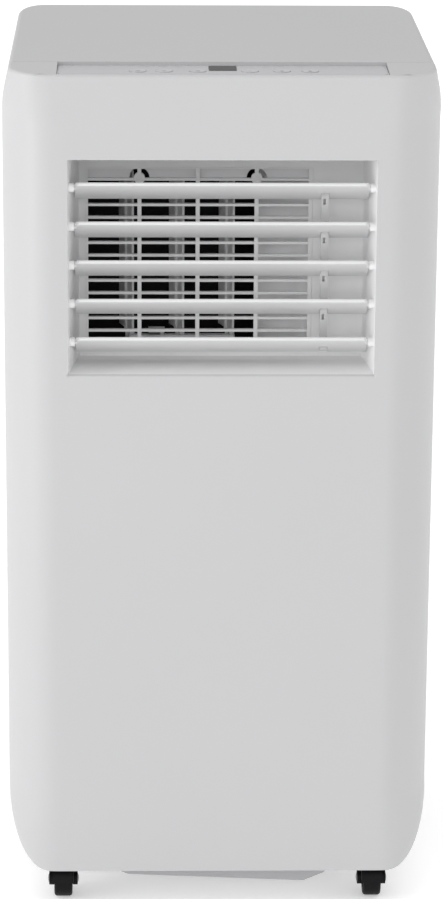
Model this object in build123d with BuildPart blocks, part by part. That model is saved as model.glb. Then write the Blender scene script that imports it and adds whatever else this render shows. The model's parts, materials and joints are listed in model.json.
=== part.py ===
from build123d import *
import math
import os

# Portable air conditioner: a tall rounded casing on four swivel casters, with a louvred outlet high on
# the front, a control strip along the front of the top, and its cooling circuit inside.
# Millimetres. Origin on the floor under the middle of the object, +X right, +Y to the rear, +Z up.

os.makedirs("parts", exist_ok=True)

# ---- driving dimensions -------------------------------------------------------------------------
WIDTH = 350.0
FRONT_Y = -170.0
REAR_Y = 158.0
COLLAR_END_Y = 170.0
HEIGHT = 705.0
WALL = 2.6
SEAM_GAP = 0.5

SKIRT_Z = 34.0
SEAM_Y = -60.0
COVER_Z = 692.0
STRIP_Z = 702.4
STRIP_REAR_Y = -125.0

FRONT_CORNER = (42.0, 65.0)
REAR_CORNER = (25.0, 40.0)
SKIRT_CORNER = (33.0, 64.0)
SHOULDER_Z = 660.0
SHOULDER_IN = 6.0
TOP_IN = 6.8

OUTLET_HALF = 121.9
OUTLET_LOW = 460.9
OUTLET_HIGH = 635.3
OUTLET_DRAFT = 8.0
OUTLET_BACK_LOW = 464.0
OUTLET_BACK_HIGH = 628.0
OUTLET_BACK_Y = -120.0
FRAME_WALL = 2.4

GRILLE_LEFT = -108.3
GRILLE_RIGHT = 73.4
GRILLE_LOW = 467.7
GRILLE_HIGH = 619.2
GRILLE_BAR = 2.0
GRILLE_ROWS = 14
GRILLE_PITCH = 10.37
GRILLE_TOP_ROW = 609.2
GRILLE_UPRIGHTS = (-65.4, -18.7, 28.4)

LOUVER_COUNT = 5
LOUVER_PITCH = 31.35
LOUVER_TOP_LIP = 616.0
LOUVER_LIP_Y = -167.5
LOUVER_CHORD = 31.5
LOUVER_TILT = 30.0
LOUVER_PIVOT = 10.0
LOUVER_HALF = 116.4
LOUVER_THICK = 2.0
PIVOT_PIN_R = 2.0
PIN_CLEARANCE = 0.08
LINK_X = 82.0
LINK_THICK = 6.2
LINK_ARM = 17.8
LINK_PIN_R = 1.3

VANE_X = (-75.5, -34.7, 6.0)
VANE_Y = -85.0
VANE_ANGLE = 20.0
VANE_AHEAD = 14.0
VANE_BEHIND = 18.0
VANE_THICK = 1.8
VANE_LOW = 478.0
VANE_HIGH = 612.0
VANE_LINK_ARM = 11.0

KEY_X = (-66.7, -46.1, -19.7, 21.3, 46.3, 68.3)
KEY_Y = -151.0
KEY_R = 6.5
KEY_CLEARANCE = 0.3
KEY_PROUD = 0.5
LAMP_X = (-60.0, -47.0, -35.0, 34.0, 46.0, 60.0)
LAMP_Y = -131.5
LAMP_SIZE = (4.0, 1.6)
DISPLAY_SIZE = (22.0, 12.0)
DISPLAY_Y = -137.5
FILM_HALF = 128.5
FILM_THICK = 0.4

COLLAR_X = 45.0
COLLAR_Z = 345.0
COLLAR_BORE_R = 73.0
COLLAR_OUTER_R = 76.0
COLLAR_BORE_LENGTH = 36.0
GUARD_R = 70.0
GUARD_THICK = 4.0

FILTER_HALF = 132.0
UPPER_FILTER_Z = (468.0, 652.0)
LOWER_FILTER_Z = (70.0, 250.0)

HANDLE_Y = (-15.0, 85.0)
HANDLE_Z = (560.0, 594.0)
HANDLE_DEPTH = 24.0

CASTER_X = 129.4
CASTER_Y = 132.0
CASTER_TRAIL = 7.5
CASTER_R = 15.0
CASTER_WHEEL_WIDTH = 15.0
CASTER_FORK_WIDTH = 17.4
CASTER_STEM_R = 4.0

PAN_Z = 35.0
PAN_THICK = 2.5
DRAIN_X = -110.0
DRAIN_R = 5.0
UPPER_DRAIN_Z = 440.0
LOWER_DRAIN_Z = 48.0


def across(y):
    """Plane facing the front at depth y, whose own axes are +X and +Z."""
    return Plane.XZ.offset(-y)


def save(builder, node):
    builder.part.label = node
    export_step(builder.part, f"parts/{node}.step")


def box_between(low, high, mode=Mode.ADD):
    """Add a box given by its lowest and highest corner to the open part."""
    size = [b - a for a, b in zip(low, high)]
    middle = [(a + b) / 2 for a, b in zip(low, high)]
    with Locations(tuple(middle)):
        Box(*size, mode=mode)


def rod_x(x_from, x_to, y, z, radius, mode=Mode.ADD):
    """Cylinder along X."""
    with BuildSketch(Plane.YZ.offset(min(x_from, x_to))) as section:
        with Locations((y, z)):
            Circle(radius)
    extrude(section.sketch, amount=abs(x_to - x_from), mode=mode)


def rod_y(y_from, y_to, x, z, radius, mode=Mode.ADD):
    """Cylinder along Y."""
    with BuildSketch(across(max(y_from, y_to))) as section:
        with Locations((x, z)):
            Circle(radius)
    extrude(section.sketch, amount=abs(y_to - y_from), mode=mode)


def rod_z(z_from, z_to, x, y, radius, mode=Mode.ADD):
    """Cylinder along Z."""
    with BuildSketch(Plane.XY.offset(min(z_from, z_to))) as section:
        with Locations((x, y)):
            Circle(radius)
    extrude(section.sketch, amount=abs(z_to - z_from), mode=mode)


# ---- casing -------------------------------------------------------------------------------------
def casing_form(inset=0.0):
    """Solid of the casing's outside, or of its inside when inset is the wall's thickness."""
    half = WIDTH / 2
    front_centre = (half - FRONT_CORNER[0], FRONT_Y + FRONT_CORNER[1])
    rear_centre = (half - REAR_CORNER[0], REAR_Y - REAR_CORNER[1])
    skirt_centre = (half - SKIRT_CORNER[0], SKIRT_Z + SKIRT_CORNER[1])
    with BuildPart() as form:
        with BuildSketch(Plane.XY):
            with BuildLine():
                front = EllipticalCenterArc(
                    front_centre, FRONT_CORNER[0] - inset, FRONT_CORNER[1] - inset, 270, arc_size=90
                )
                rear = EllipticalCenterArc(
                    rear_centre, REAR_CORNER[0] - inset, REAR_CORNER[1] - inset, 0, arc_size=90
                )
                Line((0, FRONT_Y + inset), front @ 0)
                Line(front @ 1, rear @ 0)
                Line(rear @ 1, (0, REAR_Y - inset))
                mirror(about=Plane.YZ)
            make_face()
        extrude(amount=HEIGHT)
        with BuildSketch(Plane.XZ):
            with BuildLine():
                skirt = EllipticalCenterArc(
                    skirt_centre, SKIRT_CORNER[0] - inset, SKIRT_CORNER[1] - inset, 270, arc_size=90
                )
                shoulder = TangentArc(
                    (half - inset, SHOULDER_Z), (half - SHOULDER_IN - inset, COVER_Z), tangent=(0, 1)
                )
                Line((0, SKIRT_Z + inset), skirt @ 0)
                Line(skirt @ 1, shoulder @ 0)
                Line(shoulder @ 1, (half - TOP_IN - inset, HEIGHT - inset))
                Line((half - TOP_IN - inset, HEIGHT - inset), (0, HEIGHT - inset))
                mirror(about=Plane.YZ)
            make_face()
        extrude(amount=HEIGHT, both=True, mode=Mode.INTERSECT)
    return form.part


BIG = 400.0
ROOF_HALF = 130.0
ROOF_OVERLAP = 1.0
UNDERSIDE_HALF = 146.0
UNDERSIDE_Y = (-158.0, 146.0)
UNDERSIDE_TOP = SKIRT_Z + 4.5
outside = casing_form()
inside = casing_form(WALL)

# sloping roof of the front shell, which meets the top cover behind and the front face's edge before
with BuildPart() as front_roof:
    with BuildSketch(Plane.YZ):
        with BuildLine():
            Polyline(
                (FRONT_Y, STRIP_Z),
                (STRIP_REAR_Y, HEIGHT),
                (STRIP_REAR_Y, HEIGHT - WALL),
                (FRONT_Y, STRIP_Z - WALL),
                close=True,
            )
        make_face()
    extrude(amount=BIG, both=True)
    add(outside, mode=Mode.INTERSECT)

with BuildPart() as front_shell:
    add(outside)
    add(inside, mode=Mode.SUBTRACT)
    box_between((-BIG, SEAM_Y, 0), (BIG, BIG, HEIGHT), Mode.SUBTRACT)
    box_between((-BIG, STRIP_REAR_Y, COVER_Z), (BIG, BIG, HEIGHT), Mode.SUBTRACT)
    with BuildSketch(Plane.YZ):
        with BuildLine():
            Polyline(
                (FRONT_Y - 1, HEIGHT + 1),
                (FRONT_Y - 1, STRIP_Z - WALL + ROOF_OVERLAP),
                (STRIP_REAR_Y + 1, HEIGHT - WALL + ROOF_OVERLAP),
                (STRIP_REAR_Y + 1, HEIGHT + 1),
                close=True,
            )
        make_face()
    extrude(amount=BIG, both=True, mode=Mode.SUBTRACT)
    add(front_roof.part)
    # well for the control strip
    box_between(
        (-ROOF_HALF, FRONT_Y + WALL, STRIP_Z - 2 * WALL),
        (ROOF_HALF, STRIP_REAR_Y + 1, HEIGHT + 1),
        Mode.SUBTRACT,
    )
    box_between(
        (-UNDERSIDE_HALF, UNDERSIDE_Y[0], 0), (UNDERSIDE_HALF, UNDERSIDE_Y[1], UNDERSIDE_TOP), Mode.SUBTRACT
    )
    box_between(
        (-OUTLET_HALF, -BIG, OUTLET_LOW), (OUTLET_HALF, SEAM_Y - WALL, OUTLET_HIGH), Mode.SUBTRACT
    )
save(front_shell, "front_shell")

DRAIN_HOLE_R = 9.5
GLAND_X = 120.0
GLAND_Z = 46.0
GLAND_R = 7.0
FILTER_GAP = 0.6
SCREW_SPOTS = [(x, z) for x in (-152.0, 152.0) for z in (120.0, 290.0, 450.0, 650.0)]
SCREW_HOLE_R = 2.2

with BuildPart() as rear_shell:
    add(outside)
    add(inside, mode=Mode.SUBTRACT)
    box_between((-BIG, -BIG, 0), (BIG, SEAM_Y + SEAM_GAP, HEIGHT), Mode.SUBTRACT)
    box_between((-BIG, -BIG, COVER_Z), (BIG, BIG, HEIGHT + 1), Mode.SUBTRACT)
    box_between(
        (-UNDERSIDE_HALF, UNDERSIDE_Y[0], 0), (UNDERSIDE_HALF, UNDERSIDE_Y[1], UNDERSIDE_TOP), Mode.SUBTRACT
    )
    # openings of the two filter covers
    for low, high in (UPPER_FILTER_Z, LOWER_FILTER_Z):
        with BuildSketch(across(REAR_Y + 1)):
            with Locations((0, (low + high) / 2)):
                RectangleRounded(2 * (FILTER_HALF + FILTER_GAP), high - low + 2 * FILTER_GAP, 8.6)
        extrude(amount=WALL + 2, mode=Mode.SUBTRACT)
    # hose collar, drains, cord gland and screw holes
    rod_y(REAR_Y - WALL - 1, REAR_Y + 1, COLLAR_X, COLLAR_Z, COLLAR_OUTER_R + 0.4, Mode.SUBTRACT)
    for drain_z in (UPPER_DRAIN_Z, LOWER_DRAIN_Z):
        rod_y(REAR_Y - WALL - 1, REAR_Y + 1, DRAIN_X, drain_z, DRAIN_HOLE_R, Mode.SUBTRACT)
    rod_y(REAR_Y - WALL - 1, REAR_Y + 1, GLAND_X, GLAND_Z, GLAND_R + 0.2, Mode.SUBTRACT)
    for x, z in SCREW_SPOTS:
        rod_y(REAR_Y - 20, REAR_Y + 1, x, z, SCREW_HOLE_R, Mode.SUBTRACT)
    # hand-hold openings
    for side in (-1, 1):
        with BuildSketch(Plane.YZ.offset(side * WIDTH / 2 - 5)):
            with Locations((sum(HANDLE_Y) / 2, sum(HANDLE_Z) / 2)):
                RectangleRounded(HANDLE_Y[1] - HANDLE_Y[0], HANDLE_Z[1] - HANDLE_Z[0], 12)
        extrude(amount=10, mode=Mode.SUBTRACT)
save(rear_shell, "rear_shell")

TOP_ROUND = 3.0

with BuildPart() as top_cover:
    add(outside)
    top_edges = edges().filter_by_position(Axis.Z, HEIGHT - 0.1, HEIGHT + 0.1)
    fillet(top_edges, TOP_ROUND)
    add(inside, mode=Mode.SUBTRACT)
    box_between((-BIG, -BIG, 0), (BIG, BIG, COVER_Z + SEAM_GAP), Mode.SUBTRACT)
    box_between((-BIG, -BIG, 0), (BIG, STRIP_REAR_Y + SEAM_GAP, HEIGHT + 1), Mode.SUBTRACT)
    # the front lip that closes the step above the control strip
    box_between(
        (-ROOF_HALF - 8, STRIP_REAR_Y + SEAM_GAP, COVER_Z + SEAM_GAP),
        (ROOF_HALF + 8, STRIP_REAR_Y + 3, HEIGHT - 1),
    )
save(top_cover, "top_cover")


# ---- control strip ------------------------------------------------------------------------------
STRIP_THICK = 2.4
STRIP_GAP = 0.3

with BuildPart() as control_panel:
    box_between(
        (-ROOF_HALF + STRIP_GAP, FRONT_Y + WALL + STRIP_GAP, STRIP_Z - FILM_THICK - STRIP_THICK),
        (ROOF_HALF - STRIP_GAP, STRIP_REAR_Y + STRIP_GAP, STRIP_Z - FILM_THICK),
    )
    # stiffening skirt under the plate's front edge
    box_between((-120, -166, STRIP_Z - 12), (120, -164.4, STRIP_Z - FILM_THICK - STRIP_THICK))
    with BuildSketch(Plane.XY.offset(STRIP_Z - 20)):
        with Locations(*[(x, KEY_Y) for x in KEY_X]):
            Circle(KEY_R + KEY_CLEARANCE)
        with Locations(*[(x, LAMP_Y) for x in LAMP_X]):
            Rectangle(*LAMP_SIZE)
        with Locations((0, DISPLAY_Y)):
            Rectangle(*DISPLAY_SIZE)
    extrude(amount=30, mode=Mode.SUBTRACT)
save(control_panel, "control_panel")

FILM_Y = (-165.5, -126.5)
with BuildPart() as control_film:
    with BuildSketch(Plane.XY.offset(STRIP_Z - FILM_THICK)):
        with Locations((0, sum(FILM_Y) / 2)):
            RectangleRounded(2 * FILM_HALF, FILM_Y[1] - FILM_Y[0], 4)
        with Locations(*[(x, KEY_Y) for x in KEY_X]):
            Circle(KEY_R + KEY_CLEARANCE, mode=Mode.SUBTRACT)
        with Locations(*[(x, LAMP_Y) for x in LAMP_X]):
            Rectangle(*LAMP_SIZE, mode=Mode.SUBTRACT)
        with Locations((0, DISPLAY_Y)):
            Rectangle(*DISPLAY_SIZE, mode=Mode.SUBTRACT)
    extrude(amount=FILM_THICK)
save(control_film, "control_film")

LENS_FIT = 0.1
with BuildPart() as display_window:
    with BuildSketch(Plane.XY.offset(STRIP_Z - FILM_THICK - STRIP_THICK)):
        with Locations((0, DISPLAY_Y)):
            Rectangle(DISPLAY_SIZE[0] - 2 * LENS_FIT, DISPLAY_SIZE[1] - 2 * LENS_FIT)
    extrude(amount=FILM_THICK + STRIP_THICK)
save(display_window, "display_window")

with BuildPart() as indicator_lenses:
    with BuildSketch(Plane.XY.offset(STRIP_Z - FILM_THICK - STRIP_THICK)):
        with Locations(*[(x, LAMP_Y) for x in LAMP_X]):
            Rectangle(LAMP_SIZE[0] - 2 * LENS_FIT, LAMP_SIZE[1] - 2 * LENS_FIT)
    extrude(amount=FILM_THICK + STRIP_THICK)
save(indicator_lenses, "indicator_lenses")

BOARD_Z = 690.0
BOARD_THICK = 1.6
KEY_STEM_R = 2.0
KEY_TRAVEL = 0.8
SWITCH_HIGH = 3.6
with BuildPart() as control_board:
    box_between((-95, -160, BOARD_Z), (95, -128, BOARD_Z + BOARD_THICK))
    for x in KEY_X:
        rod_z(BOARD_Z + BOARD_THICK, BOARD_Z + BOARD_THICK + SWITCH_HIGH, x, KEY_Y, 2.6)
save(control_board, "control_board")

key_top = STRIP_Z + KEY_PROUD
key_stem_end = BOARD_Z + BOARD_THICK + SWITCH_HIGH + KEY_TRAVEL + 0.2
for number, x in enumerate(KEY_X, start=1):
    with BuildPart() as key:
        rod_z(key_top - 3.4, key_top, x, KEY_Y, KEY_R)
        fillet(key.faces().sort_by(Axis.Z)[-1].edges(), 0.4)
        rod_z(key_stem_end, key_top - 3.4, x, KEY_Y, KEY_STEM_R)
    save(key, f"key_{number}")


# ---- outlet: frame, grille, louvers and their link -----------------------------------------------
frame_front_y = FRONT_Y + WALL + 0.1


def outlet_form(grow, front_y, back_y):
    """Tapering block of the outlet recess, larger all round by grow."""
    with BuildPart() as form:
        with BuildSketch(across(front_y)):
            with Locations((0, (OUTLET_LOW + OUTLET_HIGH) / 2)):
                Rectangle(2 * (OUTLET_HALF + grow), OUTLET_HIGH - OUTLET_LOW + 2 * grow)
        with BuildSketch(across(back_y)):
            with Locations((0, (OUTLET_BACK_LOW + OUTLET_BACK_HIGH) / 2)):
                Rectangle(
                    2 * (OUTLET_HALF - OUTLET_DRAFT + grow), OUTLET_BACK_HIGH - OUTLET_BACK_LOW + 2 * grow
                )
        loft()
    return form.part


tilt = math.radians(LOUVER_TILT)
along = (math.cos(tilt), -math.sin(tilt))
normal = (math.sin(tilt), math.cos(tilt))
pivot_y = LOUVER_LIP_Y + LOUVER_PIVOT * along[0]
pivot_heights = [
    LOUVER_TOP_LIP - LOUVER_PITCH * row + LOUVER_PIVOT * along[1] for row in range(LOUVER_COUNT)
]
boss_r = 3.6
boss_inner_x = LOUVER_HALF + 0.5
pin_end_x = 121.0
outlet_block = outlet_form(FRAME_WALL, frame_front_y, OUTLET_BACK_Y + FRAME_WALL)
outlet_hollow = outlet_form(0, frame_front_y, OUTLET_BACK_Y)
RIM = 9.0
RIM_THICK = 2.2

with BuildPart() as outlet_frame:
    add(outlet_block)
    with BuildSketch(across(frame_front_y + RIM_THICK)):
        with Locations((0, (OUTLET_LOW + OUTLET_HIGH) / 2)):
            Rectangle(2 * (OUTLET_HALF + RIM), OUTLET_HIGH - OUTLET_LOW + 2 * RIM)
    extrude(amount=RIM_THICK)
    add(outlet_hollow, mode=Mode.SUBTRACT)
    box_between(
        (GRILLE_LEFT, OUTLET_BACK_Y - 1, GRILLE_LOW),
        (GRILLE_RIGHT, OUTLET_BACK_Y + 5, GRILLE_HIGH),
        Mode.SUBTRACT,
    )
    for pivot_z in pivot_heights:
        for side in (-1, 1):
            rod_x(side * boss_inner_x, side * (pin_end_x + 1), pivot_y, pivot_z, boss_r)
            rod_x(side * (boss_inner_x - 1), side * (pin_end_x + 0.3), pivot_y, pivot_z,
                  PIVOT_PIN_R + PIN_CLEARANCE, Mode.SUBTRACT)
save(outlet_frame, "outlet_frame")

GRILLE_FIT = 0.15
GRILLE_RIM = 4.0
GRILLE_BOSS_R = 4.5
grille_front_y = OUTLET_BACK_Y + 0.2
grille_back_y = OUTLET_BACK_Y + FRAME_WALL
bar_depth = 3.6
left = GRILLE_LEFT + GRILLE_FIT
right = GRILLE_RIGHT - GRILLE_FIT
low = GRILLE_LOW + GRILLE_FIT
high = GRILLE_HIGH - GRILLE_FIT

with BuildPart() as outlet_grille:
    box_between((left, grille_front_y, low), (right, grille_back_y, high))
    box_between(
        (left - GRILLE_RIM, grille_back_y, low - 3.0),
        (right + GRILLE_RIM, grille_back_y + 1.6, high + GRILLE_RIM),
    )
    box_between(
        (left + 1.6, grille_front_y - 1, low + 1.2),
        (right - 3.2, grille_back_y + 5, high - 1.2),
        Mode.SUBTRACT,
    )
    for x in GRILLE_UPRIGHTS:
        box_between((x - 1.6, grille_front_y, low), (x + 1.6, grille_front_y + bar_depth, high))
    for x in (GRILLE_UPRIGHTS[0], GRILLE_UPRIGHTS[-1]):
        rod_y(grille_front_y + 0.6, grille_front_y + bar_depth, x, GRILLE_TOP_ROW + 1, GRILLE_BOSS_R)
    for row in range(GRILLE_ROWS):
        z = GRILLE_TOP_ROW - GRILLE_PITCH * row
        box_between(
            (left, grille_front_y + 0.3, z - GRILLE_BAR / 2),
            (right, grille_front_y + bar_depth, z + GRILLE_BAR / 2),
        )
save(outlet_grille, "outlet_grille")


def blade_point(pivot_z, distance, height):
    """Point of a louver's section: distance behind the pivot along the blade, height above it."""
    return (
        pivot_y + distance * along[0] + height * normal[0],
        pivot_z + distance * along[1] + height * normal[1],
    )


LIP_R = 1.5
LINK_SIDE_GAP = 0.3
lip_distance = -LOUVER_PIVOT + LIP_R
rear_distance = LOUVER_CHORD - LOUVER_PIVOT
gap_half = LINK_THICK / 2 + LINK_SIDE_GAP
gap_distance = LINK_ARM - 6.3

for number, pivot_z in enumerate(pivot_heights, start=1):
    with BuildPart() as louver:
        with BuildSketch(Plane.YZ.offset(-LOUVER_HALF)):
            with BuildLine():
                Polyline(
                    blade_point(pivot_z, lip_distance, LOUVER_THICK / 2),
                    blade_point(pivot_z, rear_distance, LOUVER_THICK / 2 - 0.4),
                    blade_point(pivot_z, rear_distance, -LOUVER_THICK / 2 + 0.4),
                    blade_point(pivot_z, lip_distance, -LOUVER_THICK / 2),
                    close=True,
                )
            make_face()
            with Locations(blade_point(pivot_z, lip_distance, 0)):
                Circle(LIP_R)
        extrude(amount=2 * LOUVER_HALF)
        # gap that the link passes through, with the pin across it
        with BuildSketch(Plane.YZ.offset(LINK_X - gap_half)):
            with BuildLine():
                Polyline(
                    blade_point(pivot_z, gap_distance, 3),
                    blade_point(pivot_z, rear_distance + 2, 3),
                    blade_point(pivot_z, rear_distance + 2, -3),
                    blade_point(pivot_z, gap_distance, -3),
                    close=True,
                )
            make_face()
        extrude(amount=2 * gap_half, mode=Mode.SUBTRACT)
        pin_y, pin_z = blade_point(pivot_z, LINK_ARM, 0)
        rod_x(LINK_X - gap_half - 2, LINK_X + gap_half + 2, pin_y, pin_z, LINK_PIN_R)
        for side in (-1, 1):
            rod_x(side * (LOUVER_HALF - 3), side * pin_end_x, pivot_y, pivot_z, PIVOT_PIN_R)
    save(louver, f"louver_{number}")

LINK_HALF = 2.4
with BuildPart() as louver_link:
    pins = [blade_point(z, LINK_ARM, 0) for z in pivot_heights]
    with BuildSketch(Plane.YZ.offset(LINK_X - LINK_THICK / 2)):
        with Locations((pins[0][0], (pins[0][1] + pins[-1][1]) / 2)):
            Rectangle(2 * LINK_HALF, pins[0][1] - pins[-1][1])
        with Locations(*pins):
            Circle(LINK_HALF)
        with Locations(*pins):
            Circle(LINK_PIN_R + PIN_CLEARANCE, mode=Mode.SUBTRACT)
    extrude(amount=LINK_THICK)
save(louver_link, "louver_link")


# ---- duct behind the grille, with its upright vanes -----------------------------------------------
DUCT_WALL = 2.0
DUCT_LEFT = -112.0
DUCT_RIGHT = 79.0
DUCT_STEP_X = 28.0
DUCT_STEP_Y = -90.0
DUCT_FRONT_Y = grille_back_y + 2.0
DUCT_REAR_Y = -25.0
DUCT_LOW = 464.0
DUCT_HIGH = 622.0
THROAT_FRONT_Y = -62.0
HEAD_PLATE_LOW = 610.0
ARCH_X = (GRILLE_UPRIGHTS[0], GRILLE_UPRIGHTS[-1])
ARCH_R = 8.0


def duct_outline(grow, front_y):
    """Plan of the duct: full width at the grille, narrowing to the throat behind."""
    Polyline(
        (DUCT_LEFT - grow, front_y),
        (DUCT_RIGHT + grow, front_y),
        (DUCT_RIGHT + grow, DUCT_FRONT_Y + 3),
        (DUCT_STEP_X + grow, DUCT_STEP_Y + grow),
        (DUCT_STEP_X + grow, DUCT_REAR_Y + grow),
        (DUCT_LEFT - grow, DUCT_REAR_Y + grow),
        close=True,
    )


pivot_hole_r = 1.5 + PIN_CLEARANCE
with BuildPart() as outlet_duct:
    with BuildSketch(Plane.XY.offset(DUCT_LOW - DUCT_WALL)):
        with BuildLine():
            duct_outline(DUCT_WALL, DUCT_FRONT_Y)
        make_face()
    extrude(amount=DUCT_HIGH - DUCT_LOW + 2 * DUCT_WALL)
    with BuildSketch(Plane.XY.offset(DUCT_LOW)):
        with BuildLine():
            duct_outline(0, DUCT_FRONT_Y - 1)
        make_face()
    extrude(amount=DUCT_HIGH - DUCT_LOW, mode=Mode.SUBTRACT)
    box_between(
        (DUCT_LEFT, THROAT_FRONT_Y, DUCT_LOW - 5), (DUCT_STEP_X, DUCT_REAR_Y, DUCT_LOW + 1), Mode.SUBTRACT
    )
    # plate across the head of the opening, arched round the grille's bosses
    box_between(
        (DUCT_LEFT - 1, DUCT_FRONT_Y, HEAD_PLATE_LOW),
        (DUCT_RIGHT + 1, DUCT_FRONT_Y + DUCT_WALL, DUCT_HIGH + 1),
    )
    for x in ARCH_X:
        rod_y(DUCT_FRONT_Y - 1, DUCT_FRONT_Y + DUCT_WALL + 1, x, HEAD_PLATE_LOW, ARCH_R, Mode.SUBTRACT)
    for x in VANE_X:
        rod_z(DUCT_HIGH - 5, DUCT_HIGH + DUCT_WALL, x, VANE_Y, 4)
        rod_z(DUCT_LOW - DUCT_WALL, DUCT_LOW + 3, x, VANE_Y, 4)
        rod_z(DUCT_LOW - 5, DUCT_LOW + 5, x, VANE_Y, pivot_hole_r, Mode.SUBTRACT)
        rod_z(DUCT_HIGH - 7, DUCT_HIGH + 5, x, VANE_Y, pivot_hole_r, Mode.SUBTRACT)
save(outlet_duct, "outlet_duct")

turn = math.radians(VANE_ANGLE)
vane_ahead = (math.sin(turn), -math.cos(turn))
vane_side = (math.cos(turn), math.sin(turn))


def vane_point(x, ahead, side):
    """Point of a vane's plan: ahead of its pivot towards the grille, and to one side."""
    return (
        x + ahead * vane_ahead[0] + side * vane_side[0],
        VANE_Y + ahead * vane_ahead[1] + side * vane_side[1],
    )


VANE_LINK_LOW = 472.0
VANE_LINK_HIGH = 475.5
for number, x in enumerate(VANE_X, start=1):
    with BuildPart() as vane:
        with BuildSketch(Plane.XY.offset(VANE_LOW)):
            with BuildLine():
                Polyline(
                    vane_point(x, VANE_AHEAD, VANE_THICK / 2),
                    vane_point(x, VANE_AHEAD, -VANE_THICK / 2),
                    vane_point(x, -VANE_BEHIND, -VANE_THICK / 2 + 0.4),
                    vane_point(x, -VANE_BEHIND, VANE_THICK / 2 - 0.4),
                    close=True,
                )
            make_face()
        extrude(amount=VANE_HIGH - VANE_LOW)
        rod_z(VANE_LOW - 1, VANE_HIGH + 1, x, VANE_Y, 2.4)
        rod_z(DUCT_LOW - DUCT_WALL + 0.3, DUCT_HIGH + DUCT_WALL - 0.3, x, VANE_Y, 1.5)
        link_spot = vane_point(x, VANE_LINK_ARM, 0)
        rod_z(VANE_LINK_HIGH + 0.3, VANE_LOW + 2, link_spot[0], link_spot[1], 2.2)
        rod_z(VANE_LINK_LOW - 0.5, VANE_LINK_HIGH + 1, link_spot[0], link_spot[1], 1.2)
    save(vane, f"vane_{number}")

TAB_SIZE = (22.0, 11.0)
with BuildPart() as vane_link:
    spots = [vane_point(x, VANE_LINK_ARM, 0) for x in VANE_X]
    link_y = spots[0][1]
    with BuildSketch(Plane.XY.offset(VANE_LINK_LOW)):
        with Locations(((spots[0][0] + spots[-1][0]) / 2, link_y)):
            Rectangle(spots[-1][0] - spots[0][0], 5)
        with Locations(*spots):
            Circle(2.5)
        with Locations(*spots):
            Circle(1.2 + PIN_CLEARANCE, mode=Mode.SUBTRACT)
    extrude(amount=VANE_LINK_HIGH - VANE_LINK_LOW)
    # thumb tab that is reached through the grille
    tab_x = -47.0
    box_between(
        (tab_x - 1.5, link_y - 1.8, VANE_LINK_HIGH - 1),
        (tab_x + 1.5, link_y + 1.8, VANE_LINK_HIGH + 5),
    )
    box_between(
        (tab_x - TAB_SIZE[0] / 2, link_y - 10, VANE_LINK_HIGH + 4),
        (tab_x + TAB_SIZE[0] / 2 - 9, link_y + 1.8, VANE_LINK_HIGH + 6),
    )
save(vane_link, "vane_link")


# ---- blowers ------------------------------------------------------------------------------------
def scroll_housing(centre_x, centre_z, front_y, rear_y, wheel_r, throat_x, throat_top, inlet_r):
    """Blower housing: a round chamber with a throat that leads straight up from one side."""
    outer_r = wheel_r + 16
    with BuildPart() as housing:
        with BuildSketch(across(rear_y)):
            with Locations((centre_x, centre_z)):
                Circle(outer_r)
            with Locations(((throat_x[0] + throat_x[1]) / 2, (centre_z + throat_top) / 2)):
                Rectangle(throat_x[1] - throat_x[0], throat_top - centre_z)
        extrude(amount=rear_y - front_y)
        with BuildSketch(across(rear_y - DUCT_WALL)):
            with Locations((centre_x, centre_z)):
                Circle(outer_r - DUCT_WALL)
            with Locations(((throat_x[0] + throat_x[1]) / 2, (centre_z + throat_top) / 2)):
                Rectangle(throat_x[1] - throat_x[0] - 2 * DUCT_WALL, throat_top - centre_z + 1)
        extrude(amount=rear_y - front_y - 2 * DUCT_WALL, mode=Mode.SUBTRACT)
        rod_y(rear_y - 5, rear_y + 5, centre_x, centre_z, inlet_r, Mode.SUBTRACT)
        rod_y(front_y - 5, front_y + 5, centre_x, centre_z, 8, Mode.SUBTRACT)
    return housing


def blower_wheel(centre_x, centre_z, front_y, rear_y, wheel_r, blades):
    """Squirrel-cage wheel on a hub that opens towards the motor."""
    ring_r = wheel_r - 12
    with BuildPart() as wheel:
        rod_y(front_y, front_y + 2, centre_x, centre_z, wheel_r)
        rod_y(front_y, front_y + 20, centre_x, centre_z, 9)
        with BuildSketch(across(rear_y)):
            with Locations((centre_x, centre_z)):
                Circle(wheel_r)
                Circle(ring_r, mode=Mode.SUBTRACT)
        extrude(amount=2)
        with BuildSketch(across(rear_y - 1)):
            with Locations((centre_x, centre_z)):
                with PolarLocations(wheel_r - 6.5, blades):
                    Rectangle(10, 1.4, rotation=28)
        extrude(amount=rear_y - front_y - 2)
        rod_y(front_y - 1, front_y + 18, centre_x, centre_z, 3.05, Mode.SUBTRACT)
    return wheel


def blower_motor(centre_x, centre_z, front_y, rear_y, shaft_y, radius):
    """Motor can with a rounded end and a shaft towards the rear."""
    with BuildPart() as motor:
        rod_y(front_y, rear_y, centre_x, centre_z, radius)
        fillet(motor.faces().sort_by(Axis.Y)[0].edges(), 6)
        rod_y(rear_y, rear_y + 4, centre_x, centre_z, 7)
        rod_y(rear_y, shaft_y, centre_x, centre_z, 3)
        for angle in (45, 135, 225, 315):
            ear_x = centre_x + (radius + 3) * math.cos(math.radians(angle))
            ear_z = centre_z + (radius + 3) * math.sin(math.radians(angle))
            rod_y(rear_y - 3, rear_y, ear_x, ear_z, 6)
    return motor


EVAP_X = -40.0
EVAP_Z = 372.0
EVAP_WHEEL_R = 70.0
EVAP_Y = (-64.0, -12.0)
COND_X = 45.0
COND_Z = 158.0
COND_WHEEL_R = 74.0
COND_Y = (16.0, 76.0)
scroll_top = DUCT_LOW - DUCT_WALL - 0.1

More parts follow.
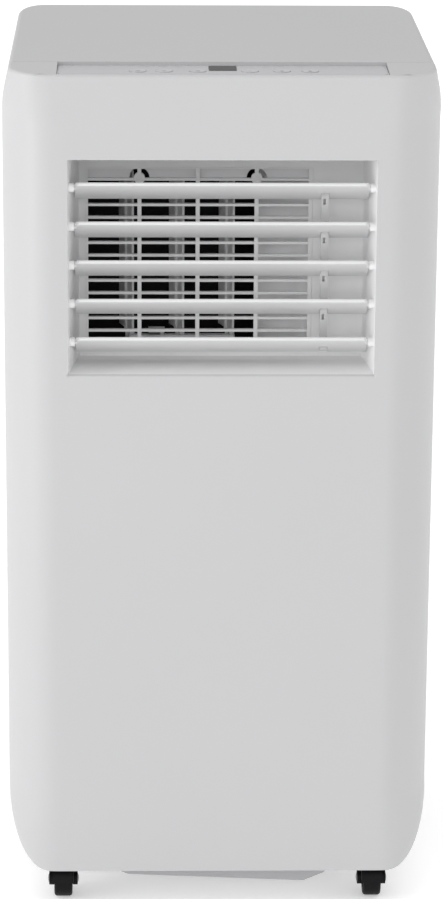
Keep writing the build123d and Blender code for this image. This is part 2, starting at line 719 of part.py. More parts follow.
evaporator_scroll = scroll_housing(
    EVAP_X, EVAP_Z, EVAP_Y[0], EVAP_Y[1], EVAP_WHEEL_R, (DUCT_LEFT, DUCT_STEP_X), scroll_top, 52
)
save(evaporator_scroll, "evaporator_scroll")
evaporator_wheel = blower_wheel(EVAP_X, EVAP_Z, EVAP_Y[0] + 6, EVAP_Y[1] - 5, EVAP_WHEEL_R, 30)
save(evaporator_wheel, "evaporator_wheel")
evaporator_motor = blower_motor(EVAP_X, EVAP_Z, -116, EVAP_Y[0] - 0.1, EVAP_Y[0] + 20, 34)
save(evaporator_motor, "evaporator_motor")

EXHAUST_HALF = 80.0
EXHAUST_LOW = 262.0
EXHAUST_HIGH = 426.0
EXHAUST_REAR_Y = 128.0
condenser_scroll = scroll_housing(
    COND_X, COND_Z, COND_Y[0], COND_Y[1], COND_WHEEL_R, (COND_X - 50, COND_X + 86), EXHAUST_LOW + 4, 56
)
with condenser_scroll:
    # exhaust chamber that carries the hot air up and back to the hose collar
    box_between(
        (COLLAR_X - EXHAUST_HALF - 3, COND_Y[0], EXHAUST_LOW),
        (COLLAR_X + EXHAUST_HALF + 6, EXHAUST_REAR_Y, EXHAUST_HIGH),
    )
    box_between(
        (COLLAR_X - EXHAUST_HALF - 1, COND_Y[0] + 2, EXHAUST_LOW + 2),
        (COLLAR_X + EXHAUST_HALF + 4, EXHAUST_REAR_Y - 2, EXHAUST_HIGH - 2),
        Mode.SUBTRACT,
    )
    box_between(
        (COND_X - 48, COND_Y[0] + 2, EXHAUST_LOW - 1),
        (COND_X + 84, COND_Y[1] - 2, EXHAUST_LOW + 5),
        Mode.SUBTRACT,
    )
    rod_y(EXHAUST_REAR_Y - 5, EXHAUST_REAR_Y + 5, COLLAR_X, COLLAR_Z, GUARD_R, Mode.SUBTRACT)
save(condenser_scroll, "condenser_scroll")
condenser_wheel = blower_wheel(COND_X, COND_Z, COND_Y[0] + 6, COND_Y[1] - 5, COND_WHEEL_R, 30)
save(condenser_wheel, "condenser_wheel")
condenser_motor = blower_motor(COND_X, COND_Z, -38, COND_Y[0] - 0.1, COND_Y[0] + 20, 36)
save(condenser_motor, "condenser_motor")


# ---- hose collar --------------------------------------------------------------------------------
bore_start_y = COLLAR_END_Y - COLLAR_BORE_LENGTH
collar_start_y = bore_start_y - GUARD_THICK
with BuildPart() as exhaust_collar:
    rod_y(collar_start_y, COLLAR_END_Y, COLLAR_X, COLLAR_Z, COLLAR_OUTER_R)
    rod_y(REAR_Y - WALL - 2.6, REAR_Y - WALL - 0.2, COLLAR_X, COLLAR_Z, COLLAR_OUTER_R + 8)
    rod_y(bore_start_y, COLLAR_END_Y + 1, COLLAR_X, COLLAR_Z, COLLAR_BORE_R, Mode.SUBTRACT)
    # narrower ring that stops the hose, with a finger guard across it
    rod_y(collar_start_y - 1, bore_start_y, COLLAR_X, COLLAR_Z, GUARD_R, Mode.SUBTRACT)
    for offset_z in (-48, -24, 0, 24, 48):
        half = math.sqrt(GUARD_R**2 - offset_z**2) + 1
        box_between(
            (COLLAR_X - half, collar_start_y, COLLAR_Z + offset_z - 1.2),
            (COLLAR_X + half, bore_start_y, COLLAR_Z + offset_z + 1.2),
        )
    box_between(
        (COLLAR_X - 1.2, collar_start_y, COLLAR_Z - GUARD_R - 1),
        (COLLAR_X + 1.2, bore_start_y, COLLAR_Z + GUARD_R + 1),
    )
save(exhaust_collar, "exhaust_collar")


# ---- coils, tray and filters ----------------------------------------------------------------------
COIL_HALF = 140.0


def finned_coil(z_low, z_high, y_low, y_high, rows):
    """Heat exchanger: a finned block between end plates, with return bends at both ends."""
    end_plate = 1.5
    with BuildPart() as coil:
        box_between((-COIL_HALF, y_low, z_low), (COIL_HALF, y_high, z_high))
        for side in (-1, 1):
            box_between(
                (side * COIL_HALF - end_plate / 2, y_low - 3, z_low - 1),
                (side * COIL_HALF + end_plate / 2, y_high + 2, z_high + 1),
            )
            pitch = (z_high - z_low) / rows
            for row in range(rows - 1):
                z = z_low + pitch * (row + 0.75)
                box_between(
                    (side * (COIL_HALF + 3) - 3.5, (y_low + y_high) / 2 - 3.5, z - 3.5),
                    (side * (COIL_HALF + 3) + 3.5, (y_low + y_high) / 2 + 3.5, z + pitch * 0.5 + 3.5),
                )
        groove_count = int((z_high - z_low) / 12)
        with BuildSketch(across(y_high)):
            with Locations((0, (z_low + z_high) / 2)):
                with GridLocations(2 * COIL_HALF / 46, 1, 45, 1):
                    Rectangle(2.2, z_high - z_low - groove_count * 0.5)
        extrude(amount=4, mode=Mode.SUBTRACT)
    return coil


evaporator_coil = finned_coil(456, 652, 100, 124, 8)
save(evaporator_coil, "evaporator_coil")
condenser_coil = finned_coil(66, 256, 100, 126, 8)
save(condenser_coil, "condenser_coil")

TRAY_Z = (434.0, 449.0)
with BuildPart() as drip_tray:
    box_between((-150, 94, TRAY_Z[0]), (150, 134, TRAY_Z[1]))
    box_between((-148, 96, TRAY_Z[0] + 2), (148, 132, TRAY_Z[1] + 1), Mode.SUBTRACT)
    rod_y(133, REAR_Y - 0.5, DRAIN_X, UPPER_DRAIN_Z, DRAIN_R + 2)
    rod_y(130, REAR_Y + 1, DRAIN_X, UPPER_DRAIN_Z, DRAIN_R, Mode.SUBTRACT)
save(drip_tray, "drip_tray")

COVER_THICK = 3.0
SLAT_PITCH = 9.0


def filter_cover(z_range):
    """Slatted intake cover with two finger notches in its top edge."""
    z_low, z_high = z_range
    with BuildPart() as cover:
        with BuildSketch(across(REAR_Y + 1.5)):
            with Locations((0, (z_low + z_high) / 2)):
                RectangleRounded(2 * FILTER_HALF, z_high - z_low, 8)
        extrude(amount=COVER_THICK + 3)
        slat_rows = int((z_high - z_low - 22) / SLAT_PITCH)
        first = (z_low + z_high) / 2 - SLAT_PITCH * (slat_rows - 1) / 2
        with BuildSketch(across(REAR_Y + 5)):
            for row in range(slat_rows):
                for column in (-1, 0, 1):
                    with Locations((column * 82, first + row * SLAT_PITCH)):
                        SlotOverall(76, 5)
        extrude(amount=20, mode=Mode.SUBTRACT)
        # hollow back that holds the filter's frame
        box_between(
            (-FILTER_HALF + 6, REAR_Y - 8, z_low + 6),
            (FILTER_HALF - 6, REAR_Y - 2.5, z_high - 6),
            Mode.SUBTRACT,
        )
        for side in (-1, 1):
            with BuildSketch(across(REAR_Y + 3)):
                with Locations((side * 90, z_high - 5)):
                    SlotOverall(34, 5)
            extrude(amount=3.2, mode=Mode.SUBTRACT)
    return cover


def filter_screen(z_range):
    """Mesh filter in a light frame that clips to the back of its cover."""
    z_low, z_high = z_range
    half = FILTER_HALF - 7
    with BuildPart() as screen:
        box_between((-half, REAR_Y - 7.2, z_low + 7), (half, REAR_Y - 4.6, z_high - 7))
        box_between(
            (-half + 5, REAR_Y - 8, z_low + 12), (half - 5, REAR_Y - 6.2, z_high - 12), Mode.SUBTRACT
        )
        for x in (-half / 3, half / 3):
            box_between((x - 1.5, REAR_Y - 7.2, z_low + 10), (x + 1.5, REAR_Y - 6, z_high - 10))
    return screen


for place, z_range in (("upper", UPPER_FILTER_Z), ("lower", LOWER_FILTER_Z)):
    save(filter_cover(z_range), f"{place}_filter_cover")
    save(filter_screen(z_range), f"{place}_filter")


# ---- base pan with its sump, drains and gland ------------------------------------------------------
PAN_HALF = 139.0
PAN_FRONT_Y = -157.0
PAN_REAR_Y = 146.0
PAN_RIM = 24.0
BOSS_LOW = 31.5
BOSS_HIGH = 52.0
BOSS_R = 9.0
SUMP_Y = (-140.0, 60.0)
SUMP_OUTLINE = [(-86, 36), (-83, 21.7), (-75, 18.4), (72, 12.1), (90, 19.7), (96, 36)]
SUMP_HOLLOW = [(-82, 40), (-79, 23), (-73, 20.8), (71, 14.7), (87, 21.5), (92, 40)]
COMP_X = -64.0
COMP_Y = -72.0
COMP_R = 55.0
COMP_LOW = 53.0
COMP_HIGH = 236.0
FOOT_R = 68.0
GROMMET_R = 9.0
foot_angles = (90, 210, 330)
feet = [
    (COMP_X + FOOT_R * math.cos(math.radians(a)), COMP_Y + FOOT_R * math.sin(math.radians(a)))
    for a in foot_angles
]
SUMP_FLOOR = (18.4, -6.3 / 147)
caster_spots = {
    "front_left": (-CASTER_X, -CASTER_Y),
    "front_right": (CASTER_X, -CASTER_Y),
    "rear_left": (-CASTER_X, CASTER_Y),
    "rear_right": (CASTER_X, CASTER_Y),
}

with BuildPart() as base_pan:
    with BuildSketch(Plane.XY.offset(PAN_Z)):
        with Locations((0, (PAN_FRONT_Y + PAN_REAR_Y) / 2)):
            RectangleRounded(2 * PAN_HALF, PAN_REAR_Y - PAN_FRONT_Y, 24)
    extrude(amount=PAN_RIM)
    with BuildSketch(Plane.XY.offset(PAN_Z + PAN_THICK)):
        with Locations((0, (PAN_FRONT_Y + PAN_REAR_Y) / 2)):
            RectangleRounded(2 * (PAN_HALF - PAN_THICK), PAN_REAR_Y - PAN_FRONT_Y - 2 * PAN_THICK, 21.5)
    extrude(amount=PAN_RIM, mode=Mode.SUBTRACT)
    with BuildSketch(across(SUMP_Y[1])):
        with BuildLine():
            Polyline(*SUMP_OUTLINE, close=True)
        make_face()
        fillet(vertices().sort_by(Axis.Y)[:4], 5)
    extrude(amount=SUMP_Y[1] - SUMP_Y[0])
    with BuildSketch(across(SUMP_Y[1] - PAN_THICK)):
        with BuildLine():
            Polyline(*SUMP_HOLLOW, close=True)
        make_face()
    extrude(amount=SUMP_Y[1] - SUMP_Y[0] - 2 * PAN_THICK, mode=Mode.SUBTRACT)
    # posts under the compressor's feet, down to the sloping floor of the sump
    for x, y in feet:
        floor_z = min(SUMP_FLOOR[0] + SUMP_FLOOR[1] * (x + 75) + 1.2, PAN_Z + 1) if x > -90 else PAN_Z + 1
        rod_z(floor_z, PAN_Z + PAN_THICK, x, y, GROMMET_R + 1)
    for x, y in caster_spots.values():
        rod_z(BOSS_LOW, BOSS_HIGH, x, y, BOSS_R)
        rod_z(BOSS_LOW - 1, BOSS_HIGH - 3, x, y, CASTER_STEM_R + 0.05, Mode.SUBTRACT)
    rod_y(PAN_REAR_Y - 1, REAR_Y - 0.5, DRAIN_X, LOWER_DRAIN_Z, DRAIN_R + 2)
    rod_y(PAN_REAR_Y - 5, REAR_Y + 1, DRAIN_X, LOWER_DRAIN_Z, DRAIN_R, Mode.SUBTRACT)
save(base_pan, "base_pan")

for place, z in (("upper", UPPER_DRAIN_Z), ("lower", LOWER_DRAIN_Z)):
    with BuildPart() as plug:
        rod_y(REAR_Y - 14, REAR_Y + 2, DRAIN_X, z, DRAIN_R - 0.2)
        rod_y(REAR_Y - 0.3, REAR_Y + 4, DRAIN_X, z, DRAIN_HOLE_R - 0.5)
        fillet(plug.faces().sort_by(Axis.Y)[-1].edges(), 1.2)
        box_between((DRAIN_X - 1.5, REAR_Y + 3, z - 6), (DRAIN_X + 1.5, REAR_Y + 10, z + 6))
    save(plug, f"{place}_drain_plug")

with BuildPart() as cord_gland:
    rod_y(REAR_Y - 8, REAR_Y + 0.1, GLAND_X, GLAND_Z, GLAND_R)
    rod_y(REAR_Y + 0.1, REAR_Y + 3.5, GLAND_X, GLAND_Z, GLAND_R + 2.5)
    fillet(cord_gland.faces().sort_by(Axis.Y)[-1].edges(), 1.5)
    rod_y(REAR_Y - 10, REAR_Y + 6, GLAND_X, GLAND_Z, 4, Mode.SUBTRACT)
save(cord_gland, "cord_gland")


# ---- compressor and pipes --------------------------------------------------------------------------
with BuildPart() as compressor:
    rod_z(COMP_LOW, COMP_HIGH, COMP_X, COMP_Y, COMP_R)
    fillet(compressor.edges().filter_by(GeomType.CIRCLE), 22)
    rod_z(COMP_LOW + 20, COMP_HIGH - 12, COMP_X + COMP_R + 13, COMP_Y, 14)
    box_between(
        (COMP_X + COMP_R - 4, COMP_Y - 4, COMP_LOW + 70),
        (COMP_X + COMP_R + 4, COMP_Y + 4, COMP_LOW + 80),
    )
    rod_z(COMP_HIGH - 1, COMP_HIGH + 6, COMP_X, COMP_Y, 20)
    for x, y in feet:
        rod_z(COMP_LOW, COMP_LOW + 3, x, y, 12)
        with BuildSketch(Plane.XY.offset(COMP_LOW)):
            with Locations(((x + COMP_X) / 2, (y + COMP_Y) / 2)):
                Rectangle(FOOT_R, 20, rotation=math.degrees(math.atan2(y - COMP_Y, x - COMP_X)))
        extrude(amount=3)
    rod_z(COMP_LOW - 1, COMP_LOW + 5, COMP_X, COMP_Y, COMP_R - 24)
    for x, y in feet:
        rod_z(COMP_LOW - 1, COMP_LOW + 5, x, y, 4.5, Mode.SUBTRACT)
save(compressor, "compressor")

with BuildPart() as compressor_mounts:
    for x, y in feet:
        rod_z(PAN_Z + PAN_THICK, COMP_LOW - 0.1, x, y, GROMMET_R)
save(compressor_mounts, "compressor_mounts")


def pipe(points, bend, radius):
    """Round pipe along straight runs joined by bends."""
    with BuildPart() as run:
        with BuildLine() as route:
            path = FilletPolyline(*points, radius=bend)
        with BuildSketch(Plane(origin=path @ 0, z_dir=path % 0)):
            Circle(radius)
        sweep(path=route.wires()[0])
    return run.part


PIPE_BEND = 9.0
discharge_pipe = pipe(
    [(-46, -90, 236.2), (-46, -90, 254), (-46, -8, 254), (-126, 40, 254), (-126, 99.8, 254)], PIPE_BEND, 3.5
)
liquid_pipe = pipe([(-147, 113, 238), (-158, 113, 238), (-158, 113, 480), (-147, 113, 480)], 6, 3)
suction_pipe = pipe(
    [(-147, 116, 600), (-160, 116, 600), (-160, 116, 500), (-160, 30, 300), (-160, -76, 300),
     (-91, -76, 300), (-91, -76, 236.2)], 6, 4
)
with BuildPart() as refrigerant_pipes:
    add(discharge_pipe)
    add(liquid_pipe)
    add(suction_pipe)
save(refrigerant_pipes, "refrigerant_pipes")

with BuildPart() as electrical_box:
    box_between((80, -130, 300), (150, -40, 440))
    fillet(electrical_box.edges().filter_by(Axis.Y), 4)
    box_between((83, -127, 303), (147, -43, 437), Mode.SUBTRACT)
    for z in (330, 350, 370, 390, 410):
        box_between((95, -42, z), (135, -39, z + 4), Mode.SUBTRACT)
save(electrical_box, "electrical_box")


# ---- hand-holds, screws and casters ------------------------------------------------------------------
HANDLE_WALL = 2.2
for place, side in (("left", -1), ("right", 1)):
    with BuildPart() as handle:
        middle = (sum(HANDLE_Y) / 2, sum(HANDLE_Z) / 2)
        size = (HANDLE_Y[1] - HANDLE_Y[0] - 2 * SEAM_GAP, HANDLE_Z[1] - HANDLE_Z[0] - 2 * SEAM_GAP)
        flange_x = WIDTH / 2 - WALL - 0.2
        inner_x = flange_x - HANDLE_DEPTH
        with BuildSketch(Plane.YZ.offset(min(side * (WIDTH / 2 - 0.3), side * inner_x))):
            with Locations(middle):
                RectangleRounded(size[0], size[1], 11.5)
        extrude(amount=WIDTH / 2 - 0.3 - inner_x)
        with BuildSketch(Plane.YZ.offset(min(side * flange_x, side * (flange_x - 2)))):
            with Locations(middle):
                RectangleRounded(size[0] + 10, size[1] + 10, 16)
        extrude(amount=2)
        hollow_from = min(side * (WIDTH / 2 + 1), side * (inner_x + HANDLE_WALL))
        with BuildSketch(Plane.YZ.offset(hollow_from)):
            with Locations(middle):
                RectangleRounded(size[0] - 2 * HANDLE_WALL, size[1] - 2 * HANDLE_WALL, 9.3)
        extrude(amount=WIDTH / 2 + 1 - inner_x - HANDLE_WALL, mode=Mode.SUBTRACT)
    save(handle, f"{place}_hand_hold")

with BuildPart() as casing_screws:
    for x, z in SCREW_SPOTS:
        rod_y(REAR_Y - 14, REAR_Y + 0.05, x, z, 2.0)
        rod_y(REAR_Y + 0.05, REAR_Y + 2.2, x, z, 3.8)
        box_between((x - 2.4, REAR_Y + 1.3, z - 0.5), (x + 2.4, REAR_Y + 3, z + 0.5), Mode.SUBTRACT)
        box_between((x - 0.5, REAR_Y + 1.3, z - 2.4), (x + 0.5, REAR_Y + 3, z + 2.4), Mode.SUBTRACT)
save(casing_screws, "casing_screws")

FORK_TOP = 31.0
HOOD_LOW = 17.0
HOOD_REACH = 17.5
CHEEK_R = 5.7
CHEEK_INNER = 7.9
CHEEK_OUTER = 11.9
WHEEL_CLEARANCE = 0.8
WHEEL_EDGE = 2.5
AXLE_R = 2.0
for place, (x, y) in caster_spots.items():
    wheel_y = y - CASTER_TRAIL
    half_fork = CASTER_FORK_WIDTH / 2
    half_wheel = CASTER_WHEEL_WIDTH / 2
    half_cavity = half_wheel + 0.4
    with BuildPart() as fork:
        # hood over the upper half of the wheel, under the stem
        rod_x(x - half_fork, x + half_fork, wheel_y, CASTER_R, HOOD_REACH)
        box_between(
            (x - half_fork, wheel_y - 9, FORK_TOP - 4),
            (x + half_fork, y + 9, FORK_TOP),
        )
        box_between(
            (x - BIG, wheel_y - BIG, CASTER_R - BIG),
            (x + BIG, wheel_y + BIG, HOOD_LOW),
            Mode.SUBTRACT,
        )
        box_between(
            (x - BIG, wheel_y - BIG, FORK_TOP),
            (x + BIG, wheel_y + BIG, FORK_TOP + BIG),
            Mode.SUBTRACT,
        )
        rod_z(FORK_TOP - 8, FORK_TOP, x, y, 7)
        # cheeks at both ends of the axle, each with an arm up to the hood
        for side in (-1, 1):
            rod_x(x + side * CHEEK_INNER, x + side * CHEEK_OUTER, wheel_y, CASTER_R, CHEEK_R)
            box_between(
                (min(x + side * CHEEK_INNER, x + side * half_fork), wheel_y - 3, CASTER_R),
                (max(x + side * CHEEK_INNER, x + side * half_fork), wheel_y + 3, FORK_TOP - 6),
            )
        rod_x(
            x - half_cavity,
            x + half_cavity,
            wheel_y,
            CASTER_R,
            CASTER_R + WHEEL_CLEARANCE,
            Mode.SUBTRACT,
        )
        rod_z(FORK_TOP - 1, BOSS_HIGH - 4, x, y, CASTER_STEM_R)
        rod_x(x - CHEEK_OUTER, x + CHEEK_OUTER, wheel_y, CASTER_R, AXLE_R)
    save(fork, f"caster_fork_{place}")
    with BuildPart() as wheel:
        rod_x(x - half_wheel, x + half_wheel, wheel_y, CASTER_R, CASTER_R)
        fillet(wheel.edges().filter_by(GeomType.CIRCLE), WHEEL_EDGE)
        for side in (-1, 1):
            rim_x = x + side * half_wheel
            rod_x(rim_x - side * 1.5, rim_x + side, wheel_y, CASTER_R, 10, Mode.SUBTRACT)
            rod_x(rim_x - side * 1.6, rim_x, wheel_y, CASTER_R, 4)
        rod_x(x - half_fork, x + half_fork, wheel_y, CASTER_R, AXLE_R + 0.06, Mode.SUBTRACT)
    save(wheel, f"caster_wheel_{place}")
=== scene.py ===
# %% [markdown]
# # Portable air conditioner
# This lesson dresses a finished CAD model. The CAD nodes hold the true sizes and the joints, and here
# each visible piece gets a smooth surface, soft edges and a moulded-plastic finish. The casing and the
# louvers are modelled anew with edit-mode operators, and simple flat pieces are softened copies.

# %% Load the fixed frame
import json
import math
import bmesh
import bpy
from mathutils import Matrix, Vector


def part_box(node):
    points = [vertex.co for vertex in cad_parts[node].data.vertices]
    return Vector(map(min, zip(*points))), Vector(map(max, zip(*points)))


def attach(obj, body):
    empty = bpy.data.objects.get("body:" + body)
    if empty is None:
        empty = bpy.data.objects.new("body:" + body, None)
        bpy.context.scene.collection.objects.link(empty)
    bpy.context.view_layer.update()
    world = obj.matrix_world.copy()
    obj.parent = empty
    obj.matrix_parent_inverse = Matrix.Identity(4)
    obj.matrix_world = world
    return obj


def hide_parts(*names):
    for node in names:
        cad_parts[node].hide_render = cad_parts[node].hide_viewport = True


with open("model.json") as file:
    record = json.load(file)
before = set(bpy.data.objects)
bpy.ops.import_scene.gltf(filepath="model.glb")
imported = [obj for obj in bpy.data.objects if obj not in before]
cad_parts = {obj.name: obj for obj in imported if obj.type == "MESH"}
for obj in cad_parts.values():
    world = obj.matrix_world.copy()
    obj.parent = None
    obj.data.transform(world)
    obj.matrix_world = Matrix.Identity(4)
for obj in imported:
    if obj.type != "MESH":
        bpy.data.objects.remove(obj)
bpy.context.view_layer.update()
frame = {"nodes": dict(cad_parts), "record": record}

nodes = frame["nodes"]
record = frame["record"]
body_of = {node: body for body, names in record["behaviour"]["bodies"].items() for node in names}
MM = 0.001

# %% [markdown]
# ## Camera
# The object is seen from in front and above with a long lens, so its upright lines almost stay parallel.
# The camera is built from its position and its three aiming angles.

# %% Camera
CAMERA_AT = Vector((-0.0650, -2.8423, 1.1874))
YAW, PITCH, ROLL = math.radians(1.401), math.radians(16.427), math.radians(-0.377)
forward = Vector((math.sin(YAW) * math.cos(PITCH), math.cos(YAW) * math.cos(PITCH), -math.sin(PITCH)))
level_right = Vector((math.cos(YAW), -math.sin(YAW), 0))
level_down = forward.cross(level_right)
right = level_right * math.cos(ROLL) + level_down * math.sin(ROLL)
up = level_right * math.sin(ROLL) - level_down * math.cos(ROLL)
camera_data = bpy.data.cameras.new("camera")
camera_data.lens = 139.15
camera_data.sensor_width = 36.0
camera_data.clip_end = 60.0
camera = bpy.data.objects.new("camera", camera_data)
turn = Matrix((right, up, -forward)).transposed().to_4x4()
camera.matrix_world = Matrix.Translation(CAMERA_AT) @ turn
bpy.context.scene.collection.objects.link(camera)
bpy.context.scene.camera = camera
print("camera", camera_data.lens, "mm at", tuple(round(v, 3) for v in CAMERA_AT))

# %% [markdown]
# ## Studio
# The studio is a soft white surround, brighter overhead and at both sides and a little dimmer behind. The
# world's strength follows the direction, and the camera's own rays see plain white. An image of a studio
# could light the scene too, but a few nodes are easier to tune.

# %% World
scene = bpy.context.scene
scene.view_settings.view_transform = "Standard"
world = bpy.data.worlds.new("studio")
scene.world = world
world.use_nodes = True
tree = world.node_tree
tree.nodes.clear()


def add_node(tree, kind, **values):
    """One shader node with some of its settings and input values."""
    node = tree.nodes.new(kind)
    for key, value in values.items():
        if key in node.inputs:
            node.inputs[key].default_value = value
        else:
            setattr(node, key, value)
    return node


def link(tree, source, out, target, into):
    """Joins one node's output to another's input."""
    tree.links.new(source.outputs[out], target.inputs[into])


def math_node(tree, operation, first, second=0):
    """Output of a math node whose two inputs are numbers or outputs."""
    node = tree.nodes.new("ShaderNodeMath")
    node.operation = operation
    for slot, value in enumerate((first, second)):
        if isinstance(value, (int, float)):
            node.inputs[slot].default_value = value
        else:
            tree.links.new(value, node.inputs[slot])
    return node.outputs[0]


BASE_LIGHT, SIDE_GAIN, TOP_GAIN, BACK_GAIN = 0.58, 0.34, 0.50, -0.10
direction = add_node(tree, "ShaderNodeTexCoord")
split = add_node(tree, "ShaderNodeSeparateXYZ")
link(tree, direction, "Generated", split, "Vector")
side = math_node(tree, "POWER", math_node(tree, "ABSOLUTE", split.outputs["X"]), 2.0)
high = math_node(tree, "MAXIMUM", split.outputs["Z"])
back = math_node(tree, "MAXIMUM", split.outputs["Y"])
strength = BASE_LIGHT
for amount, gain in ((side, SIDE_GAIN), (high, TOP_GAIN), (back, BACK_GAIN)):
    strength = math_node(tree, "ADD", strength, math_node(tree, "MULTIPLY", amount, gain))
surround = add_node(tree, "ShaderNodeBackground", Color=(1, 1, 1, 1))
tree.links.new(strength, surround.inputs["Strength"])
plain = add_node(tree, "ShaderNodeBackground", Color=(1, 1, 1, 1), Strength=1.0)
path = add_node(tree, "ShaderNodeLightPath")
mix = add_node(tree, "ShaderNodeMixShader")
link(tree, path, "Is Camera Ray", mix, "Fac")
link(tree, surround, "Background", mix, 1)
link(tree, plain, "Background", mix, 2)
link(tree, mix, "Shader", add_node(tree, "ShaderNodeOutputWorld"), "Surface")
print("world of", len(tree.nodes), "nodes")

# %% [markdown]
# Two large area lights add direction. A wide panel fills the front and reaches into the outlet, and a
# second one far on the left draws a light band along the rounded corner. Smaller lamps would leave hard
# spots on a smooth wall.

# %% Soft panels
AIM = Vector((0, 0, 0.4))


def soft_panel(name, place, width, height, energy):
    """Large soft light that looks at the middle of the object."""
    data = bpy.data.lights.new(name, "AREA")
    data.shape = "RECTANGLE"
    data.size, data.size_y = width, height
    data.energy = energy
    panel = bpy.data.objects.new(name, data)
    panel.location = place
    panel.rotation_euler = (AIM - Vector(place)).to_track_quat("-Z", "Y").to_euler()
    scene.collection.objects.link(panel)


soft_panel("left_panel", (-3.0, -1.2, 1.1), 1.0, 2.0, 32.0)
soft_panel("front_fill", (-0.4, -4.5, 1.8), 3.0, 2.0, 30.0)
print(len(bpy.data.lights), "soft panels")

# %% [markdown]
# The floor is a large matt plane. A faint glow of its own keeps it close to the white of the surround,
# so that only a soft shadow is left. It lies just below the wheels, so that the two never share a plane.

# %% Floor
FLOOR_SIZE, FLOOR_Z = 30.0, -0.3 * MM
bpy.ops.mesh.primitive_plane_add(size=FLOOR_SIZE, location=(0, 0, FLOOR_Z))
floor = bpy.context.object
floor.name = "floor"
floor_paint = bpy.data.materials.new("floor_paint")
floor_paint.use_nodes = True
floor_shader = floor_paint.node_tree.nodes["Principled BSDF"]
floor_shader.inputs["Base Color"].default_value = (0.85, 0.85, 0.85, 1)
floor_shader.inputs["Roughness"].default_value = 0.9
floor_shader.inputs["Specular IOR Level"].default_value = 0.0
floor_shader.inputs["Emission Color"].default_value = (1, 1, 1, 1)
floor_shader.inputs["Emission Strength"].default_value = 0.34
floor.data.materials.append(floor_paint)
print("floor at", FLOOR_Z / MM, "mm")

# %% [markdown]
# ## Moulded plastic
# All the white pieces are injection moulded. Real mouldings have a fine spark-eroded grain, so their gloss
# is broken up, and the tone drifts a little over a large wall. Both come from noise on Object
# coordinates: a fine one for the bump and the gloss, a wide one for the tone. An image could carry the
# grain, but noise has no seams and no end.

# %% How a finish is made
WIDE_SCALE = 5.0
GLOSS_DOWN, GLOSS_UP = 0.05, 0.07
GRAIN_DEPTH = 0.15


def tone_between(tree, shader, factor_node, factor, low, high):
    """The shader's colour runs from low to high as another node's output goes from 0 to 1."""
    tone = add_node(tree, "ShaderNodeMix", data_type="RGBA")
    for socket in tone.inputs:
        if socket.type == "RGBA":
            socket.default_value = (*low, 1) if socket.name == "A" else (*high, 1)
    link(tree, factor_node, factor, tone, "Factor")
    tree.links.new([s for s in tone.outputs if s.type == "RGBA"][0], shader.inputs["Base Color"])


def finish(name, color, roughness, grain=0.0006, bump=0.12, drift=0.02, **extra):
    """Surface with a tone that drifts, a gloss that varies and a grain of the given size in metres."""
    material = bpy.data.materials.new(name)
    material.use_nodes = True
    tree = material.node_tree
    shader = tree.nodes["Principled BSDF"]
    for key, value in extra.items():
        shader.inputs[key.replace("_", " ")].default_value = value
    place = add_node(tree, "ShaderNodeTexCoord")
    wide = add_node(tree, "ShaderNodeTexNoise", Scale=WIDE_SCALE, Detail=3.0)
    fine = add_node(tree, "ShaderNodeTexNoise", Scale=1.0 / grain, Detail=2.0)
    for texture in (wide, fine):
        link(tree, place, "Object", texture, "Vector")
    low = [max(c * (1 - drift), 0) for c in color]
    high = [min(c * (1 + drift), 1) for c in color]
    tone_between(tree, shader, wide, "Fac", low, high)
    gloss = add_node(tree, "ShaderNodeMapRange")
    gloss.inputs["To Min"].default_value = roughness - GLOSS_DOWN
    gloss.inputs["To Max"].default_value = roughness + GLOSS_UP
    link(tree, fine, "Fac", gloss, "Value")
    link(tree, gloss, "Result", shader, "Roughness")
    relief = add_node(tree, "ShaderNodeBump", Strength=bump, Distance=grain * GRAIN_DEPTH)
    link(tree, fine, "Fac", relief, "Height")
    link(tree, relief, "Normal", shader, "Normal")
    return material


print("finishes read Object coordinates")

# %% [markdown]
# The metals, rubbers and foams differ from the white plastic only in their numbers, so they use the same
# function. Each finish is one line: its tone, its roughness, and where needed its grain and relief.

# %% The finishes of this machine
casing_white = finish("casing_white", (0.475, 0.475, 0.482), 0.42)
# painted fill light: the outlet and the louvers are the casing's white plastic, painted lighter to make up
# for the shade in the recess
outlet_white_painted_fill = finish("outlet_white_painted_fill", (0.77, 0.77, 0.775), 0.45)
louver_white = finish("louver_white", (0.64, 0.64, 0.645), 0.34, bump=0.06)
strip_grey = finish("strip_grey", (0.50, 0.50, 0.51), 0.36)
film_grey = finish("film_grey", (0.46, 0.46, 0.475), 0.22, grain=0.0011, bump=0.04)
key_grey = finish("key_grey", (0.47, 0.47, 0.485), 0.3, bump=0.05)
display_smoke = finish("display_smoke", (0.05, 0.05, 0.053), 0.42, bump=0.01, Specular_IOR_Level=0.35)
lamp_milk = finish("lamp_milk", (0.30, 0.30, 0.31), 0.3)
# painted fill light: the vanes, the vane link and the duct's white faces are painted lighter than the
# casing, to make up for the shade deep in the duct
vane_grey = finish("vane_grey", (0.70, 0.70, 0.71), 0.5)
duct_white_painted_fill = finish("duct_white_painted_fill", (0.72, 0.72, 0.73), 0.5)
foam_black = finish("foam_black", (0.008, 0.008, 0.009), 0.9, grain=0.003, bump=0.5, drift=0.3)
blower_black = finish("blower_black", (0.012, 0.012, 0.013), 0.5)
pan_grey = finish("pan_grey", (0.42, 0.42, 0.43), 0.5, grain=0.001)
nylon_black = finish(
    "nylon_black", (0.004, 0.004, 0.005), 0.5, grain=0.0008, bump=0.2, drift=0.3, Specular_IOR_Level=0.15
)
rubber_black = finish("rubber_black", (0.02, 0.02, 0.021), 0.7, grain=0.0009, bump=0.3, drift=0.2)
axle_steel = finish("axle_steel", (0.46, 0.46, 0.47), 0.28, bump=0.08, Metallic=1.0)
motor_zinc = finish("motor_zinc", (0.45, 0.46, 0.48), 0.4, grain=0.002, bump=0.15, drift=0.12, Metallic=1.0)
fin_aluminium = finish("fin_aluminium", (0.70, 0.71, 0.73), 0.35, drift=0.08, Metallic=1.0)
pipe_copper = finish("pipe_copper", (0.72, 0.33, 0.17), 0.3, drift=0.12, Metallic=1.0)
